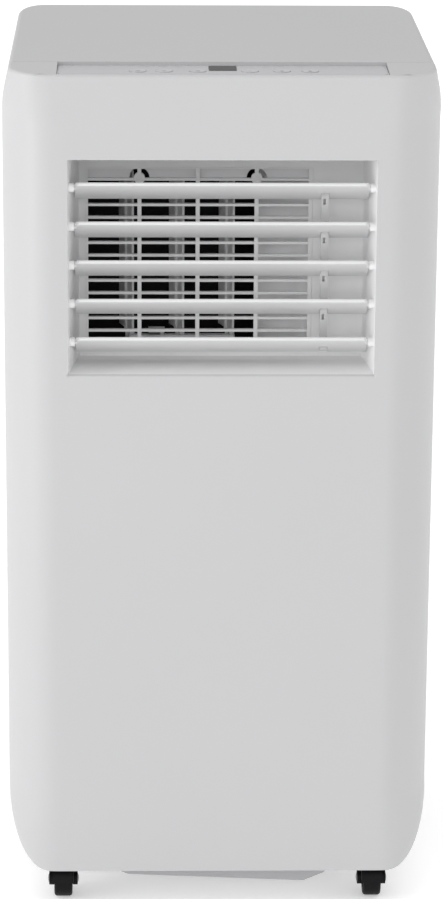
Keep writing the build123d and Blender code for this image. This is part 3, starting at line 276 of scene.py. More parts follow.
compressor_black = finish("compressor_black", (0.015, 0.015, 0.016), 0.25, grain=0.002, drift=0.2)
board_green = finish("board_green", (0.02, 0.13, 0.06), 0.4, drift=0.2)
ink_grey = finish("ink_grey", (0.045, 0.045, 0.05), 0.35)
link_grey = finish("link_grey", (0.50, 0.50, 0.505), 0.45)
cap_grey = finish("cap_grey", (0.22, 0.22, 0.23), 0.4)
print(len(bpy.data.materials), "materials so far")

# %% [markdown]
# ## Filter mesh
# The dust screens behind the rear covers are woven black net. It could be a lattice of real threads, but
# the screens lie behind slats, so two crossed sine waves on Object coordinates darken the gaps and raise
# the threads, which costs no geometry. The gaps' near-black is painted shade for the dark inside seen
# through the holes.

# %% Net finish
NET_PITCH = 1.6 * MM


def woven_net(name, thread, gap, pitch):
    """Net of crossed threads in the X-Z plane, whose gaps take the gap colour as painted shade."""
    material = finish(name, thread, 0.7)
    tree = material.node_tree
    shader = tree.nodes["Principled BSDF"]
    place = add_node(tree, "ShaderNodeTexCoord")
    axes = add_node(tree, "ShaderNodeSeparateXYZ")
    link(tree, place, "Object", axes, "Vector")
    waves = []
    for axis in ("X", "Z"):
        phase = math_node(tree, "MULTIPLY", axes.outputs[axis], 2 * math.pi / pitch)
        waves.append(math_node(tree, "SINE", phase))
    cover = math_node(tree, "MAXIMUM", waves[0], waves[1])
    edge = add_node(tree, "ShaderNodeMapRange")
    tree.links.new(cover, edge.inputs["Value"])
    edge.inputs["From Min"].default_value = 0.1
    edge.inputs["From Max"].default_value = 0.6
    tone_between(tree, shader, edge, "Result", gap, thread)
    relief = add_node(tree, "ShaderNodeBump", Strength=0.6, Distance=pitch * 0.3)
    tree.links.new(cover, relief.inputs["Height"])
    link(tree, relief, "Normal", shader, "Normal")
    return material


# the near-black gap colour is painted shade for the dark inside behind the net
filter_net = woven_net("filter_net", (0.07, 0.07, 0.075), (0.008, 0.008, 0.008), NET_PITCH)
print("net pitch", NET_PITCH / MM, "mm")

# %% [markdown]
# ## Working by hand in code
# Every operator acts on what is selected. These helpers open a piece in edit mode, select its faces,
# edges or points by their place, and close it again with its place baked into the mesh. A hand would
# click on them instead, but a test on their place selects the same ones each time the script runs.

# %% Helpers for edit mode


def open_piece(piece):
    """Only this piece is selected and in edit mode, with nothing selected in it."""
    if bpy.context.mode != "OBJECT":
        bpy.ops.object.mode_set(mode="OBJECT")
    bpy.ops.object.select_all(action="DESELECT")
    bpy.context.view_layer.objects.active = piece
    piece.select_set(True)
    bpy.ops.object.mode_set(mode="EDIT")
    bpy.ops.mesh.select_all(action="DESELECT")


def open_whole(piece):
    """Only this piece is in edit mode, with all of it selected."""
    open_piece(piece)
    bpy.ops.mesh.select_all(action="SELECT")


def pick(piece, kind, test):
    """Selects what passes a test: point(place), edge(middle, edge) or face(middle, normal)."""
    bpy.ops.mesh.select_mode(type=kind)
    bpy.ops.mesh.select_all(action="DESELECT")
    mesh = bmesh.from_edit_mesh(piece.data)
    if kind == "VERT":
        chosen = [vert for vert in mesh.verts if test(vert.co)]
    elif kind == "EDGE":
        chosen = [edge for edge in mesh.edges if test((edge.verts[0].co + edge.verts[1].co) / 2, edge)]
    else:
        chosen = [face for face in mesh.faces if test(face.calc_center_median(), face.normal)]
    for item in chosen:
        item.select_set(True)
    mesh.select_flush_mode()
    bmesh.update_edit_mesh(piece.data)
    return len(chosen)


def move(x=0.0, y=0.0, z=0.0):
    """Moves what is selected."""
    bpy.ops.transform.translate(value=(x, y, z))


def resize(x, y, z, centre):
    """Scales what is selected from a fixed point."""
    bpy.ops.transform.resize(value=(x, y, z), center_override=centre)


def pull(x=0.0, y=0.0, z=0.0):
    """Extrudes what is selected."""
    bpy.ops.mesh.extrude_region_move(TRANSFORM_OT_translate={"value": (x, y, z)})


def round_off(width, segments):
    """Rounds the selected edges."""
    bpy.ops.mesh.bevel(offset=width, segments=segments, affect="EDGES", profile=0.5)


print("edit-mode helpers are ready")

# %% [markdown]
# A shape that is right still needs its place in its mesh, its soft edges and its body. Modifiers do the
# rounding, because they find all sharp edges by their angle, and each one is applied at once, so that
# the next step works on real faces.

# %% Helpers for whole pieces


def close_piece(piece):
    """Leaves edit mode and puts the object's place, turn and scale into its mesh."""
    if bpy.context.mode != "OBJECT":
        bpy.ops.object.mode_set(mode="OBJECT")
    bpy.ops.object.select_all(action="DESELECT")
    bpy.context.view_layer.objects.active = piece
    piece.select_set(True)
    bpy.ops.object.transform_apply(location=True, rotation=True, scale=True)


def apply_modifier(piece, kind, **settings):
    """Adds one modifier with its settings and applies it."""
    close_piece(piece)
    modifier = piece.modifiers.new(kind.lower(), kind)
    for key, value in settings.items():
        setattr(modifier, key, value)
    bpy.ops.object.modifier_apply(modifier=modifier.name)


SMOOTH_BELOW = math.radians(35)


def soften(piece, width, angle=40, segments=2):
    """Rounds every edge sharper than the angle and shades the piece smooth."""
    limit = math.radians(angle)
    apply_modifier(piece, "BEVEL", width=width, segments=segments, limit_method="ANGLE", angle_limit=limit)
    bpy.ops.object.shade_smooth_by_angle(angle=SMOOTH_BELOW)
    apply_modifier(piece, "WEIGHTED_NORMAL", weight=50, keep_sharp=True)


def copy_piece(piece, name):
    """Copy with its own mesh."""
    twin = bpy.data.objects.new(name, piece.data.copy())
    scene.collection.objects.link(twin)
    return twin


def fit_out(piece, material, *names):
    """Gives a piece its material and its body, and hides the CAD nodes that it stands for."""
    close_piece(piece)
    piece.data.materials.clear()
    piece.data.materials.append(material)
    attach(piece, body_of[names[0]])
    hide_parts(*names)
    print(piece.name, "->", body_of[names[0]], len(piece.data.polygons), "faces")


def cut_with(piece, cutter):
    """Takes a closed cutter away from a piece and throws the cutter away."""
    close_piece(cutter)
    apply_modifier(piece, "BOOLEAN", operation="DIFFERENCE", object=cutter, solver="EXACT")
    bpy.data.objects.remove(cutter, do_unlink=True)


print("helpers for whole pieces are ready")

# %% [markdown]
# ## Casing outline
# The casing is a tall tube with a rounded plan: wide oval corners in front and tighter ones behind. It
# could be a bevelled cube, but its side walls also curve in at the skirt and at the shoulder. So one
# outline is drawn flat, its corners are bevelled as points, and it is extruded upwards ring by ring,
# each ring a little narrower or wider, the way a potter would pull a wall.

# %% Outline of the casing
front_low, front_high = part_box("front_shell")
rear_low, rear_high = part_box("rear_shell")
cover_low, cover_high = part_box("top_cover")
HALF = front_high.x
FRONT, REAR = front_low.y, rear_high.y
SKIRT, CREST = front_low.z, cover_high.z
SEAM_Y, SEAM_Z = rear_low.y, rear_high.z
ROOF_Y = cover_low.y
CORNER_X, CORNER_Y, REAR_CORNER = 42 * MM, 65 * MM, 25 * MM
SQUASH = CORNER_X / CORNER_Y
FLAT_HALF = HALF - CORNER_X
FRONT_STEPS, REAR_STEPS = 14, 8
# places closer than a hair are the same place, and a margin keeps a test clear of its border
HAIR, MARGIN = 0.02 * MM, 0.1 * MM

bpy.ops.mesh.primitive_plane_add(size=1, location=(0, 0, 0))
skin = bpy.context.object
skin.name = "casing_skin"
open_whole(skin)
resize(2 * HALF, (REAR - FRONT) * SQUASH, 1, (0, 0, 0))
pick(skin, "VERT", lambda p: p.y < 0)
bpy.ops.mesh.bevel(offset=CORNER_X, segments=FRONT_STEPS, affect="VERTICES", profile=0.5)
pick(skin, "VERT", lambda p: p.y > 0 and abs(p.x) > HALF - MARGIN)
bpy.ops.mesh.bevel(offset=REAR_CORNER, segments=REAR_STEPS, affect="VERTICES", profile=0.5)
bpy.ops.mesh.select_all(action="SELECT")
resize(1, 1 / SQUASH, 1, (0, 0, 0))
move(y=(FRONT + REAR) / 2, z=SKIRT)
bpy.ops.mesh.delete(type="ONLY_FACE")
outline = bmesh.from_edit_mesh(skin.data)
flat_to = max(point.co.x for point in outline.verts if point.co.y < FRONT + HAIR)
print("outline of", len(outline.verts), "points, front flat to", round(flat_to / MM, 1), "mm")

# %% [markdown]
# ## Pulling the wall up
# The half-width at each height comes from a quarter ellipse at the skirt and a shallow arc at the
# shoulder. Only the points outside the flat front are moved, so the front face stays flat. Where a ring
# gets narrower, its front corners get shallower too, so the edge of the skirt sweeps forward.

# %% Rings of the casing
SKIRT_IN, SKIRT_UP = 33 * MM, 64 * MM
SHOULDER_Z, SHOULDER_IN, TOP_IN = 660 * MM, 4.2 * MM, 6.8 * MM
SKIRT_STEPS, SHOULDER_STEPS = 12, 6
arc_rise = SEAM_Z - SHOULDER_Z
arc_radius = (SHOULDER_IN**2 + arc_rise**2) / (2 * SHOULDER_IN)


def half_width(z):
    """Half the casing's width at a height."""
    if z < SKIRT + SKIRT_UP:
        drop = (SKIRT + SKIRT_UP - z) / SKIRT_UP
        return HALF - SKIRT_IN + SKIRT_IN * math.sqrt(max(1 - drop**2, 0))
    if z < SHOULDER_Z:
        return HALF
    if z <= SEAM_Z:
        return HALF - arc_radius + math.sqrt(arc_radius**2 - (z - SHOULDER_Z) ** 2)
    return HALF - SHOULDER_IN - (TOP_IN - SHOULDER_IN) * (z - SEAM_Z) / (CREST - SEAM_Z)


# the skirt's rings are closer together at the bottom, where its curve is tightest
turns = [math.pi / 2 * k / SKIRT_STEPS for k in range(SKIRT_STEPS + 1)]
skirt_rings = [SKIRT + SKIRT_UP * (1 - math.cos(turn)) for turn in turns]
shoulder_rings = [SHOULDER_Z + arc_rise * k / SHOULDER_STEPS for k in range(SHOULDER_STEPS + 1)]
rings = skirt_rings + shoulder_rings + [CREST]


def corner_depth(half):
    """How far behind the front face the corner's oval reaches on a ring of this half-width."""
    share = (half - FLAT_HALF) / CORNER_X
    return CORNER_Y * (1 - math.sqrt(max(1 - share**2, 0)))


def set_ring_width(piece, z, old_half):
    """Squeezes the corners of the ring at a height to the half-width that belongs there."""
    new_half = half_width(z)
    narrower = (new_half - FLAT_HALF) / (old_half - FLAT_HALF)
    shallower = corner_depth(new_half) / corner_depth(old_half)

    def on_corner(point, side):
        return abs(point.z - z) < HAIR and side * point.x > FLAT_HALF + HAIR

    for side in (-1, 1):
        pick(piece, "VERT", lambda p: on_corner(p, side))
        resize(narrower, 1, 1, (side * FLAT_HALF, 0, 0))
        pick(piece, "VERT", lambda p: on_corner(p, side) and p.y < FRONT + CORNER_Y + MARGIN)
        resize(1, shallower, 1, (0, FRONT, 0))
    return new_half


half_now = set_ring_width(skin, SKIRT, HALF)
for below, above in zip(rings, rings[1:]):
    pick(skin, "VERT", lambda p: abs(p.z - below) < HAIR)
    pull(z=above - below)
    half_now = set_ring_width(skin, above, half_now)
pick(skin, "VERT", lambda p: abs(p.z - CREST) < HAIR)
bpy.ops.mesh.edge_face_add()
bpy.ops.mesh.select_all(action="SELECT")
bpy.ops.mesh.normals_make_consistent(inside=False)
close_piece(skin)
print("casing skin", len(skin.data.polygons), "faces, size", [round(v, 4) for v in skin.dimensions])

# %% [markdown]
# ## Three shells from one skin
# The front shell, the rear shell and the top cover are cut from the same skin, so their curves agree
# across the seams. Each copy is bisected at its seams, thickened inwards and given soft edges. Three
# separate models would need their edges matched by hand.

# %% Cutting helpers


def slice_piece(piece, point, normal, drop_outer=False, only=None):
    """Bisects a piece, or some of its faces, and may delete what lies on the normal's side."""
    open_whole(piece)
    if only is not None:
        pick(piece, "FACE", only)
    bpy.ops.mesh.bisect(plane_co=point, plane_no=normal, clear_outer=drop_outer)


def thicken(piece, wall):
    """Gives a skin its wall, inwards."""
    apply_modifier(piece, "SOLIDIFY", thickness=wall, offset=-1.0, use_even_offset=True)


print("cutting helpers are ready")

# %% [markdown]
# ## Front shell
# The front shell has the flat face, both front corners and a narrow roof that falls a little towards the
# front. The skin already has the face and the corners, so its copy is cut off at the seam and behind the
# control strip. Turning the roof's points about its rear edge then makes the fall.

# %% Front shell
SEAM_GAP = 0.5 * MM
ROOF_DROP = 2.6 * MM
roof_edge = ROOF_Y - SEAM_GAP
front_casing = copy_piece(skin, "front_casing")
slice_piece(front_casing, (0, SEAM_Y - SEAM_GAP, 0), (0, 1, 0), drop_outer=True)
slice_piece(front_casing, (0, roof_edge, 0), (0, 1, 0))
slice_piece(front_casing, (0, 0, SEAM_Z), (0, 0, 1))
pick(front_casing, "FACE", lambda c, n: c.y > roof_edge and c.z > SEAM_Z)
bpy.ops.mesh.delete(type="FACE")
slope = math.atan2(ROOF_DROP, roof_edge - FRONT)
pick(front_casing, "VERT", lambda p: p.z > CREST - MARGIN and p.y < roof_edge - MARGIN)
bpy.ops.transform.rotate(value=-slope, orient_axis="X", center_override=(0, roof_edge, CREST))
edge_height = min(v.co.z for v in bmesh.from_edit_mesh(front_casing.data).verts if v.select)
print("front edge of the roof at", round(edge_height / MM, 2), "mm")

# %% [markdown]
# The outlet opening and the well of the control strip are windows in flat faces with straight sides. A
# boolean would cut them too, but it leaves awkward faces round each hole. So the face is bisected along
# each side of the window, and the piece in the middle is deleted.

# %% Windows in the front shell
WALL = 2.6 * MM
OUTLET_HALF = 121.9 * MM
OUTLET_BOTTOM, OUTLET_TOP = 460.9 * MM, 635.3 * MM
WELL_HALF, WELL_FRONT = 130.0 * MM, FRONT + 3.2 * MM
ROOF_BOTTOM = 700 * MM


def on_front(middle, normal):
    """A face of the flat front."""
    return normal.y < -0.99 and middle.y < FRONT + MARGIN and abs(middle.x) < FLAT_HALF


def on_roof(middle, normal):
    """A face of the roof."""
    return normal.z > 0.99 and middle.z > ROOF_BOTTOM


def in_outlet(middle, normal):
    """The face that fills the outlet opening."""
    inside = abs(middle.x) < OUTLET_HALF and OUTLET_BOTTOM < middle.z < OUTLET_TOP
    return inside and on_front(middle, normal)


def in_well(middle, normal):
    """The face that fills the well of the control strip."""
    return on_roof(middle, normal) and abs(middle.x) < WELL_HALF and middle.y > WELL_FRONT


for z in (OUTLET_BOTTOM, OUTLET_TOP):
    slice_piece(front_casing, (0, 0, z), (0, 0, 1), only=on_front)
for x in (-OUTLET_HALF, OUTLET_HALF):
    slice_piece(front_casing, (x, 0, 0), (1, 0, 0), only=on_front)
pick(front_casing, "FACE", in_outlet)
bpy.ops.mesh.delete(type="FACE")
slice_piece(front_casing, (0, WELL_FRONT, 0), (0, 1, 0), only=on_roof)
for x in (-WELL_HALF, WELL_HALF):
    slice_piece(front_casing, (x, 0, 0), (1, 0, 0), only=on_roof)
pick(front_casing, "FACE", in_well)
bpy.ops.mesh.delete(type="FACE")
thicken(front_casing, WALL)
print("front shell with both windows:", len(front_casing.data.polygons), "faces")

# %% [markdown]
# Two edges of the front shell are rounder than the rest: the window's lower lip, where a hand meets it,
# and the rim of the roof. They are bevelled on their own before all the other edges get a fine round.

# %% Rounded edges of the front shell
LIP_ROUND, ROOF_ROUND, EDGE_ROUND = 2.3 * MM, 2.4 * MM, 0.6 * MM


def lower_lip(middle, edge):
    """The outer lower edge of the outlet opening."""
    at_bottom = abs(middle.z - OUTLET_BOTTOM) < HAIR and abs(middle.x) < OUTLET_HALF
    return at_bottom and abs(middle.y - FRONT) < HAIR


def roof_rim(middle, edge):
    """The outer edge where the roof meets the front face and the sides."""
    if len(edge.link_faces) != 2 or middle.z < ROOF_BOTTOM or middle.y > roof_edge - SEAM_GAP:
        return False
    if abs(middle.x) < WELL_HALF + MARGIN and middle.y > WELL_FRONT - MARGIN:
        return False
    tilts = sorted(face.normal.z for face in edge.link_faces)
    return tilts[0] < 0.5 and tilts[1] > 0.9


open_piece(front_casing)
print("lower lip of", pick(front_casing, "EDGE", lower_lip), "edges")
round_off(LIP_ROUND, 5)
print("roof rim of", pick(front_casing, "EDGE", roof_rim), "edges")
round_off(ROOF_ROUND, 4)
soften(front_casing, EDGE_ROUND, angle=55)
fit_out(front_casing, casing_white, "front_shell")

# %% [markdown]
# ## Rear shell
# The rear shell has the sides and the back, with openings for two covers, two hand-holds, the hose
# collar, two drains and the cord. Their corners are round, which bisecting can't give. So a rounded block
# is modelled for each one, sized from the CAD node that fills it, and cut away as a boolean.

# %% Rear shell
CUT_LONG = 30 * MM
COVER_GAP, COVER_CORNER = 0.6 * MM, 8 * MM
HOLD_FLANGE, HOLD_CORNER = 4.4 * MM, 12 * MM
# how much wider than its node each round opening is
ROUND_OPENINGS = {
    "exhaust_collar": -7.6 * MM,
    "upper_drain_plug": 0.5 * MM,
    "lower_drain_plug": 0.5 * MM,
    "cord_gland": -2.3 * MM,
}
rear_casing = copy_piece(skin, "rear_casing")
slice_piece(rear_casing, (0, SEAM_Y, 0), (0, -1, 0), drop_outer=True)
slice_piece(rear_casing, (0, 0, SEAM_Z), (0, 0, 1), drop_outer=True)
thicken(rear_casing, WALL)


def window_cutter(low, high, grow, axis, round_edge):
    """Block through a wall along an axis, as large as a box plus a gap, with rounded corners."""
    size = [high[k] - low[k] + 2 * grow for k in range(3)]
    size[axis] = CUT_LONG
    middle = (low + high) / 2
    bpy.ops.mesh.primitive_cube_add(size=1, location=middle)
    block = bpy.context.object
    open_whole(block)
    resize(*size, middle)
    pick(block, "EDGE", lambda m, e: abs((e.verts[0].co - e.verts[1].co)[axis]) > CUT_LONG / 2)
    round_off(round_edge, 6)
    return block


def round_cutter(node, grow):
    """Round block along Y, as wide as a node's box plus a gap."""
    low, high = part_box(node)
    radius = (high.x - low.x) / 2 + grow
    middle = ((low.x + high.x) / 2, REAR, (low.z + high.z) / 2)
    bpy.ops.mesh.primitive_cylinder_add(
        vertices=96, radius=radius, depth=CUT_LONG, location=middle, rotation=(math.pi / 2, 0, 0)
    )
    return bpy.context.object


for name in ("upper_filter_cover", "lower_filter_cover"):
    cut_with(rear_casing, window_cutter(*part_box(name), COVER_GAP, 1, COVER_CORNER))
for name in ("left_hand_hold", "right_hand_hold"):
    cut_with(rear_casing, window_cutter(*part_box(name), -HOLD_FLANGE, 0, HOLD_CORNER))
for name, grow in ROUND_OPENINGS.items():
    cut_with(rear_casing, round_cutter(name, grow))
soften(rear_casing, EDGE_ROUND, angle=50)
fit_out(rear_casing, casing_white, "rear_shell")

# %% [markdown]
# ## Top cover
# The top cover is a lid with a soft round along its sides and its back. It is the part of the skin above
# the seam. Its crest is bevelled while it is still a thin skin, so that the inside of its wall follows
# the round. A short lip then closes the step above the control strip.

# %% Top cover
COVER_WALL = 2.2 * MM
COVER_ROUND, COVER_LIP = 3.5 * MM, 4 * MM
top_casing = copy_piece(skin, "top_casing")
slice_piece(top_casing, (0, 0, cover_low.z), (0, 0, -1), drop_outer=True)
slice_piece(top_casing, (0, ROOF_Y, 0), (0, -1, 0), drop_outer=True)


def crest_edge(middle, edge):
    """An edge between the lid's top and its side or back wall."""
    return abs(middle.z - CREST) < HAIR and abs(middle.y - ROOF_Y) > MARGIN and len(edge.link_faces) == 2


def front_border(middle, edge):
    """The open front edge of the lid's top."""
    return edge.is_boundary and middle.z > CREST - COVER_ROUND and abs(middle.y - ROOF_Y) < HAIR


pick(top_casing, "EDGE", crest_edge)
round_off(COVER_ROUND, 5)
pick(top_casing, "EDGE", front_border)
pull(z=-COVER_LIP)
bpy.ops.mesh.select_all(action="SELECT")
bpy.ops.mesh.normals_make_consistent(inside=False)
thicken(top_casing, COVER_WALL)
soften(top_casing, 0.5 * MM, angle=50)
fit_out(top_casing, casing_white, "top_cover")
bpy.data.objects.remove(skin, do_unlink=True)

# %% [markdown]
# ## Louvers
# Each louver is a long moulding: a thin blade with a round bead along its front lip, cut off slantwise at
# both ends. Its profile could be drawn and swept, but a lying cylinder already is the bead, and the blade
# is pulled out of its rear faces. One louver is modelled, and the others are copies moved to their pivots.

# %% One louver


def rod_along_x(place, radius, length, sides):
    """Lying cylinder from the left to the right, around a point."""
    bpy.ops.mesh.primitive_cylinder_add(
        vertices=sides, radius=radius, depth=length, location=place, rotation=(0, math.pi / 2, 0)
    )
    return bpy.context.object


joints = {joint["name"]: joint for joint in record["behaviour"]["joints"]}
pivots = [Vector(joints[f"louver_{n}_tilt"]["pos_m"]) for n in range(1, 6)]
TILT = math.radians(32.0)
CHORD, PIVOT_AT = 32.5 * MM, 8.8 * MM
BLADE_HALF = 116.4 * MM
BEAD_R = 1.55 * MM
along_blade = Vector((0, math.cos(TILT), -math.sin(TILT)))
bead = pivots[0] - along_blade * (PIVOT_AT - BEAD_R)
louver = rod_along_x(bead, BEAD_R, 2 * BLADE_HALF, 20)
louver.name = "louver_blade_1"
close_piece(louver)
open_piece(louver)
# the blade grows from the bead's faces that look backwards along it
pick(louver, "FACE", lambda c, n: n.dot(along_blade) > 0.85)
pull(*along_blade * (CHORD - 2 * BEAD_R))
close_piece(louver)
print("blade of", round(CHORD / MM, 1), "mm with a bead of", round(BEAD_R / MM, 2), "mm radius")

# %% [markdown]
# The lip's corners are cut at a slant, the link passes through a gap in the rear edge with a thin pin
# across it, and a pin at each end turns in the recess wall. The slants are straight cuts, so they are
# bisected. The gap stops inside the blade, so it is a boolean. The pins are rods joined to the blade.

# %% Ends, gap and pins of the louver
CHAMFER = 3.2 * MM
GAP_WIDTH, GAP_FROM, GAP_LONG, GAP_TALL = 6.8 * MM, 10.2 * MM, 15 * MM, 8 * MM
PIN_R, PIN_LONG, PIN_OUT = 2 * MM, 6 * MM, 1.6 * MM
LINK_PIN_R, LINK_PIN_HOLD = 1.3 * MM, 0.3 * MM


def join_onto(piece, extra):
    """Joins a second piece into the first one's mesh."""
    close_piece(extra)
    piece.select_set(True)
    bpy.context.view_layer.objects.active = piece
    bpy.ops.object.join()


lip = pivots[0] - along_blade * PIVOT_AT
for side in (-1, 1):
    corner = lip + Vector((side * (BLADE_HALF - CHAMFER), 0, 0))
    outward = (Vector((side, 0, 0)) - along_blade).normalized()
    open_whole(louver)
    bpy.ops.mesh.bisect(plane_co=corner, plane_no=outward, use_fill=True, clear_outer=True)
close_piece(louver)
link_low, link_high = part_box("louver_link")
link_x = (link_low.x + link_high.x) / 2
gap_at = pivots[0] + along_blade * (GAP_FROM + GAP_LONG / 2) + Vector((link_x, 0, 0))
bpy.ops.mesh.primitive_cube_add(size=1, location=gap_at, rotation=(-TILT, 0, 0))
gap = bpy.context.object
gap.scale = (GAP_WIDTH, GAP_LONG, GAP_TALL)
cut_with(louver, gap)
for side in (-1, 1):
    end = pivots[0] + Vector((side * (BLADE_HALF + PIN_OUT), 0, 0))
    join_onto(louver, rod_along_x(end, PIN_R, PIN_LONG, 24))
# the link swings on the middle louver, so the first one's pin is as far above as their pivots are apart
link_pin_at = Vector((link_x, *joints["louver_link_swing"]["pos_m"][1:])) + (pivots[0] - pivots[2])
join_onto(louver, rod_along_x(link_pin_at, LINK_PIN_R, GAP_WIDTH + 2 * LINK_PIN_HOLD, 20))
soften(louver, 0.35 * MM, angle=50)
print("louver with its gap and three pins:", len(louver.data.polygons), "faces")

# %% [markdown]
# The other four louvers are the same moulding. Each one is a copy with its own mesh, moved in edit mode
# so that its object stays at the origin.

# %% Five louvers
louvers = [louver]
for n in range(2, 6):
    twin = copy_piece(louver, f"louver_blade_{n}")
    open_whole(twin)
    move(*(pivots[n - 1] - pivots[0]))
    louvers.append(twin)
for n, piece in enumerate(louvers, start=1):
    fit_out(piece, louver_white, f"louver_{n}")

# %% [markdown]
# ## Softened copies
# Many pieces are flat mouldings whose CAD shape is right but whose edges are razor sharp. A copy of the
# CAD mesh is merged, its flat triangles are dissolved into whole faces, and a bevel rounds the edges,
# which catches light as a real moulded edge does.

# %% Softening a CAD piece
MERGE, FLAT_TURN = 0.01 * MM, math.radians(0.5)


def softened(node, material, width=0.35 * MM, angle=40, segments=2):
    """Soft-edged copy of a CAD node that stands for it."""
    piece = copy_piece(nodes[node], node + "_moulded")
    open_whole(piece)
    bpy.ops.mesh.remove_doubles(threshold=MERGE)
    bpy.ops.mesh.dissolve_limited(angle_limit=FLAT_TURN)
    bpy.ops.mesh.normals_make_consistent(inside=False)
    soften(piece, width, angle, segments)
    fit_out(piece, material, node)
    return piece


for node, material, width in (
    ("outlet_frame", outlet_white_painted_fill, 0.5 * MM),
    ("outlet_grille", outlet_white_painted_fill, 0.3 * MM),
    ("vane_1", vane_grey, 0.3 * MM),
    ("vane_2", vane_grey, 0.3 * MM),
    ("vane_3", vane_grey, 0.3 * MM),
    ("vane_link", duct_white_painted_fill, 0.3 * MM),
    ("control_panel", strip_grey, 0.25 * MM),
    ("indicator_lenses", lamp_milk, 0.12 * MM),
    ("upper_filter_cover", casing_white, 0.4 * MM),
    ("lower_filter_cover", casing_white, 0.4 * MM),
    ("exhaust_collar", casing_white, 0.6 * MM),
    ("left_hand_hold", casing_white, 0.8 * MM),
    ("right_hand_hold", casing_white, 0.8 * MM),
    ("base_pan", pan_grey, 0.8 * MM),
    ("upper_drain_plug", rubber_black, 0.4 * MM),
    ("lower_drain_plug", rubber_black, 0.4 * MM),
    ("cord_gland", rubber_black, 0.3 * MM),
    ("casing_screws", axle_steel, 0.2 * MM),
):
    softened(node, material, width)

# %% [markdown]
# ## Louver link
# The link is a flat strip that hangs on the pins of all five louvers. Below each pin its face has a
# short pocket, which thins the moulding. Insets would need a face of the right size below each pin, so
# the pockets are cut into the copy with small blocks.

# %% Link with its pockets
POCKET_WIDE, POCKET_DEEP, POCKET_TALL = 1.9 * MM, 3.0 * MM, 4.4 * MM
POCKET_LEFT, POCKET_BELOW = 0.6 * MM, 5.2 * MM
link_piece = softened("louver_link", link_grey, 0.25 * MM)
for pivot in pivots:
    pocket_z = link_pin_at.z + pivot.z - pivots[0].z - POCKET_BELOW
    bpy.ops.mesh.primitive_cube_add(size=1, location=(link_x - POCKET_LEFT, link_low.y, pocket_z))
    pocket = bpy.context.object
    # half of the block stands in front of the link's face
    pocket.scale = (POCKET_WIDE, 2 * POCKET_DEEP, POCKET_TALL)
    cut_with(link_piece, pocket)
print("link with", len(pivots), "pockets")

# %% [markdown]
# ## Display window
# The display is a smoked plate that is bonded onto the printed film and reaches a little over its frame.
# It starts as a cube, gets its size in edit mode, and its upper edges are bevelled so that they glint.

# %% Display window
window_low, window_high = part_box("display_window")
PLATE_THICK, PLATE_FRONT, PLATE_BACK = 0.5 * MM, -149.0 * MM, -130.0 * MM
window_at = Vector((0, (PLATE_FRONT + PLATE_BACK) / 2, window_high.z + PLATE_THICK / 2))
bpy.ops.mesh.primitive_cube_add(size=1, location=window_at)
window = bpy.context.object
window.name = "display_plate"
open_whole(window)
resize(window_high.x - window_low.x, PLATE_BACK - PLATE_FRONT, PLATE_THICK, window_at)
close_piece(window)
open_piece(window)
pick(window, "EDGE", lambda m, e: m.z > window_at.z and e.calc_length() > MM)
round_off(PLATE_THICK / 2, 3)
soften(window, 0.08 * MM, angle=50)
fit_out(window, display_smoke, "display_window")

# %% [markdown]
# ## The duct behind the grille
# The duct is lined with black foam, which swallows the light, but its slanted side and the rim of its
# roof are bare white plastic. The lining could be a piece of its own, but it is thin and only its colour
# shows, so the same softened copy takes two materials, face by face. A bisection first gives the foam a
# straight upper edge.

# %% Duct with two finishes
FOAM_TOP, ROOF_RIM_Y = 608.5 * MM, -92 * MM
STEP_X, STEP_Y = 27.5 * MM, -84 * MM
duct = softened("outlet_duct", foam_black, 0.4 * MM)
duct.data.materials.append(duct_white_painted_fill)
open_whole(duct)
bpy.ops.mesh.bisect(plane_co=(0, 0, FOAM_TOP), plane_no=(0, 0, 1))
close_piece(duct)
# the white faces take the duct white, which is painted lighter as fill light for the shade in the duct
for face in duct.data.polygons:
    bare_side = face.center.x > STEP_X and face.center.y < STEP_Y
    bare_roof = face.center.z > FOAM_TOP and face.center.y < ROOF_RIM_Y
    face.material_index = 1 if bare_side or bare_roof else 0
print("duct faces in white", sum(face.material_index for face in duct.data.polygons))

# %% [markdown]
# ## Keys
# The keys are round caps on thin stems. Each one starts as a flat cylinder, and its top is inset and
# pressed in, which leaves a rim and a shallow dish for the fingertip. A sculpted dish would be smoother,
# but at this size two flat steps with soft edges look the same.

# %% Six keys
CAP_DEEP, STEM_R = 3.4 * MM, 2 * MM
RIM_WIDE, BANK_WIDE, DISH_WIDE = 0.7 * MM, 0.5 * MM, 2.2 * MM
BANK_DEEP, DISH_DEEP = 0.25 * MM, 0.12 * MM


def key_cap(node):
    """Round cap with a rim and a dished top, on a stem."""
    low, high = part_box(node)
    middle = ((low.x + high.x) / 2, (low.y + high.y) / 2, high.z - CAP_DEEP / 2)
    radius = (high.x - low.x) / 2
    bpy.ops.mesh.primitive_cylinder_add(vertices=48, radius=radius, depth=CAP_DEEP, location=middle)
    cap = bpy.context.object
    cap.name = node + "_cap"
    close_piece(cap)
    open_piece(cap)
    pick(cap, "FACE", lambda c, n: n.z > 0.99)
    bpy.ops.mesh.inset(thickness=RIM_WIDE)
    bpy.ops.mesh.inset(thickness=BANK_WIDE)
    move(z=-BANK_DEEP)
    bpy.ops.mesh.inset(thickness=DISH_WIDE)
    move(z=-DISH_DEEP)
    pick(cap, "FACE", lambda c, n: n.z < -0.99)
    bpy.ops.mesh.inset(thickness=radius - STEM_R)
    pull(z=low.z - (high.z - CAP_DEEP))
    soften(cap, 0.2 * MM, angle=50)
    return cap


key_nodes = [f"key_{n}" for n in range(1, 7)]
caps = [key_cap(node) for node in key_nodes]
print(len(caps), "key caps")

# %% [markdown]
# Each key carries a small printed sign in its dish: a ring with a bar, a plus, a clock, a minus, a star
# of bars, and a ring with a cross. They are generic signs. A painted pattern would blur at this size, so
# they are made of thin bars and rings.

# %% Signs on the keys
INK_WIDE, INK_THICK, INK_ROUND = 0.4 * MM, 0.06 * MM, 0.02 * MM
RING_FLAT = 0.15
SIGN_DROP = 0.35 * MM


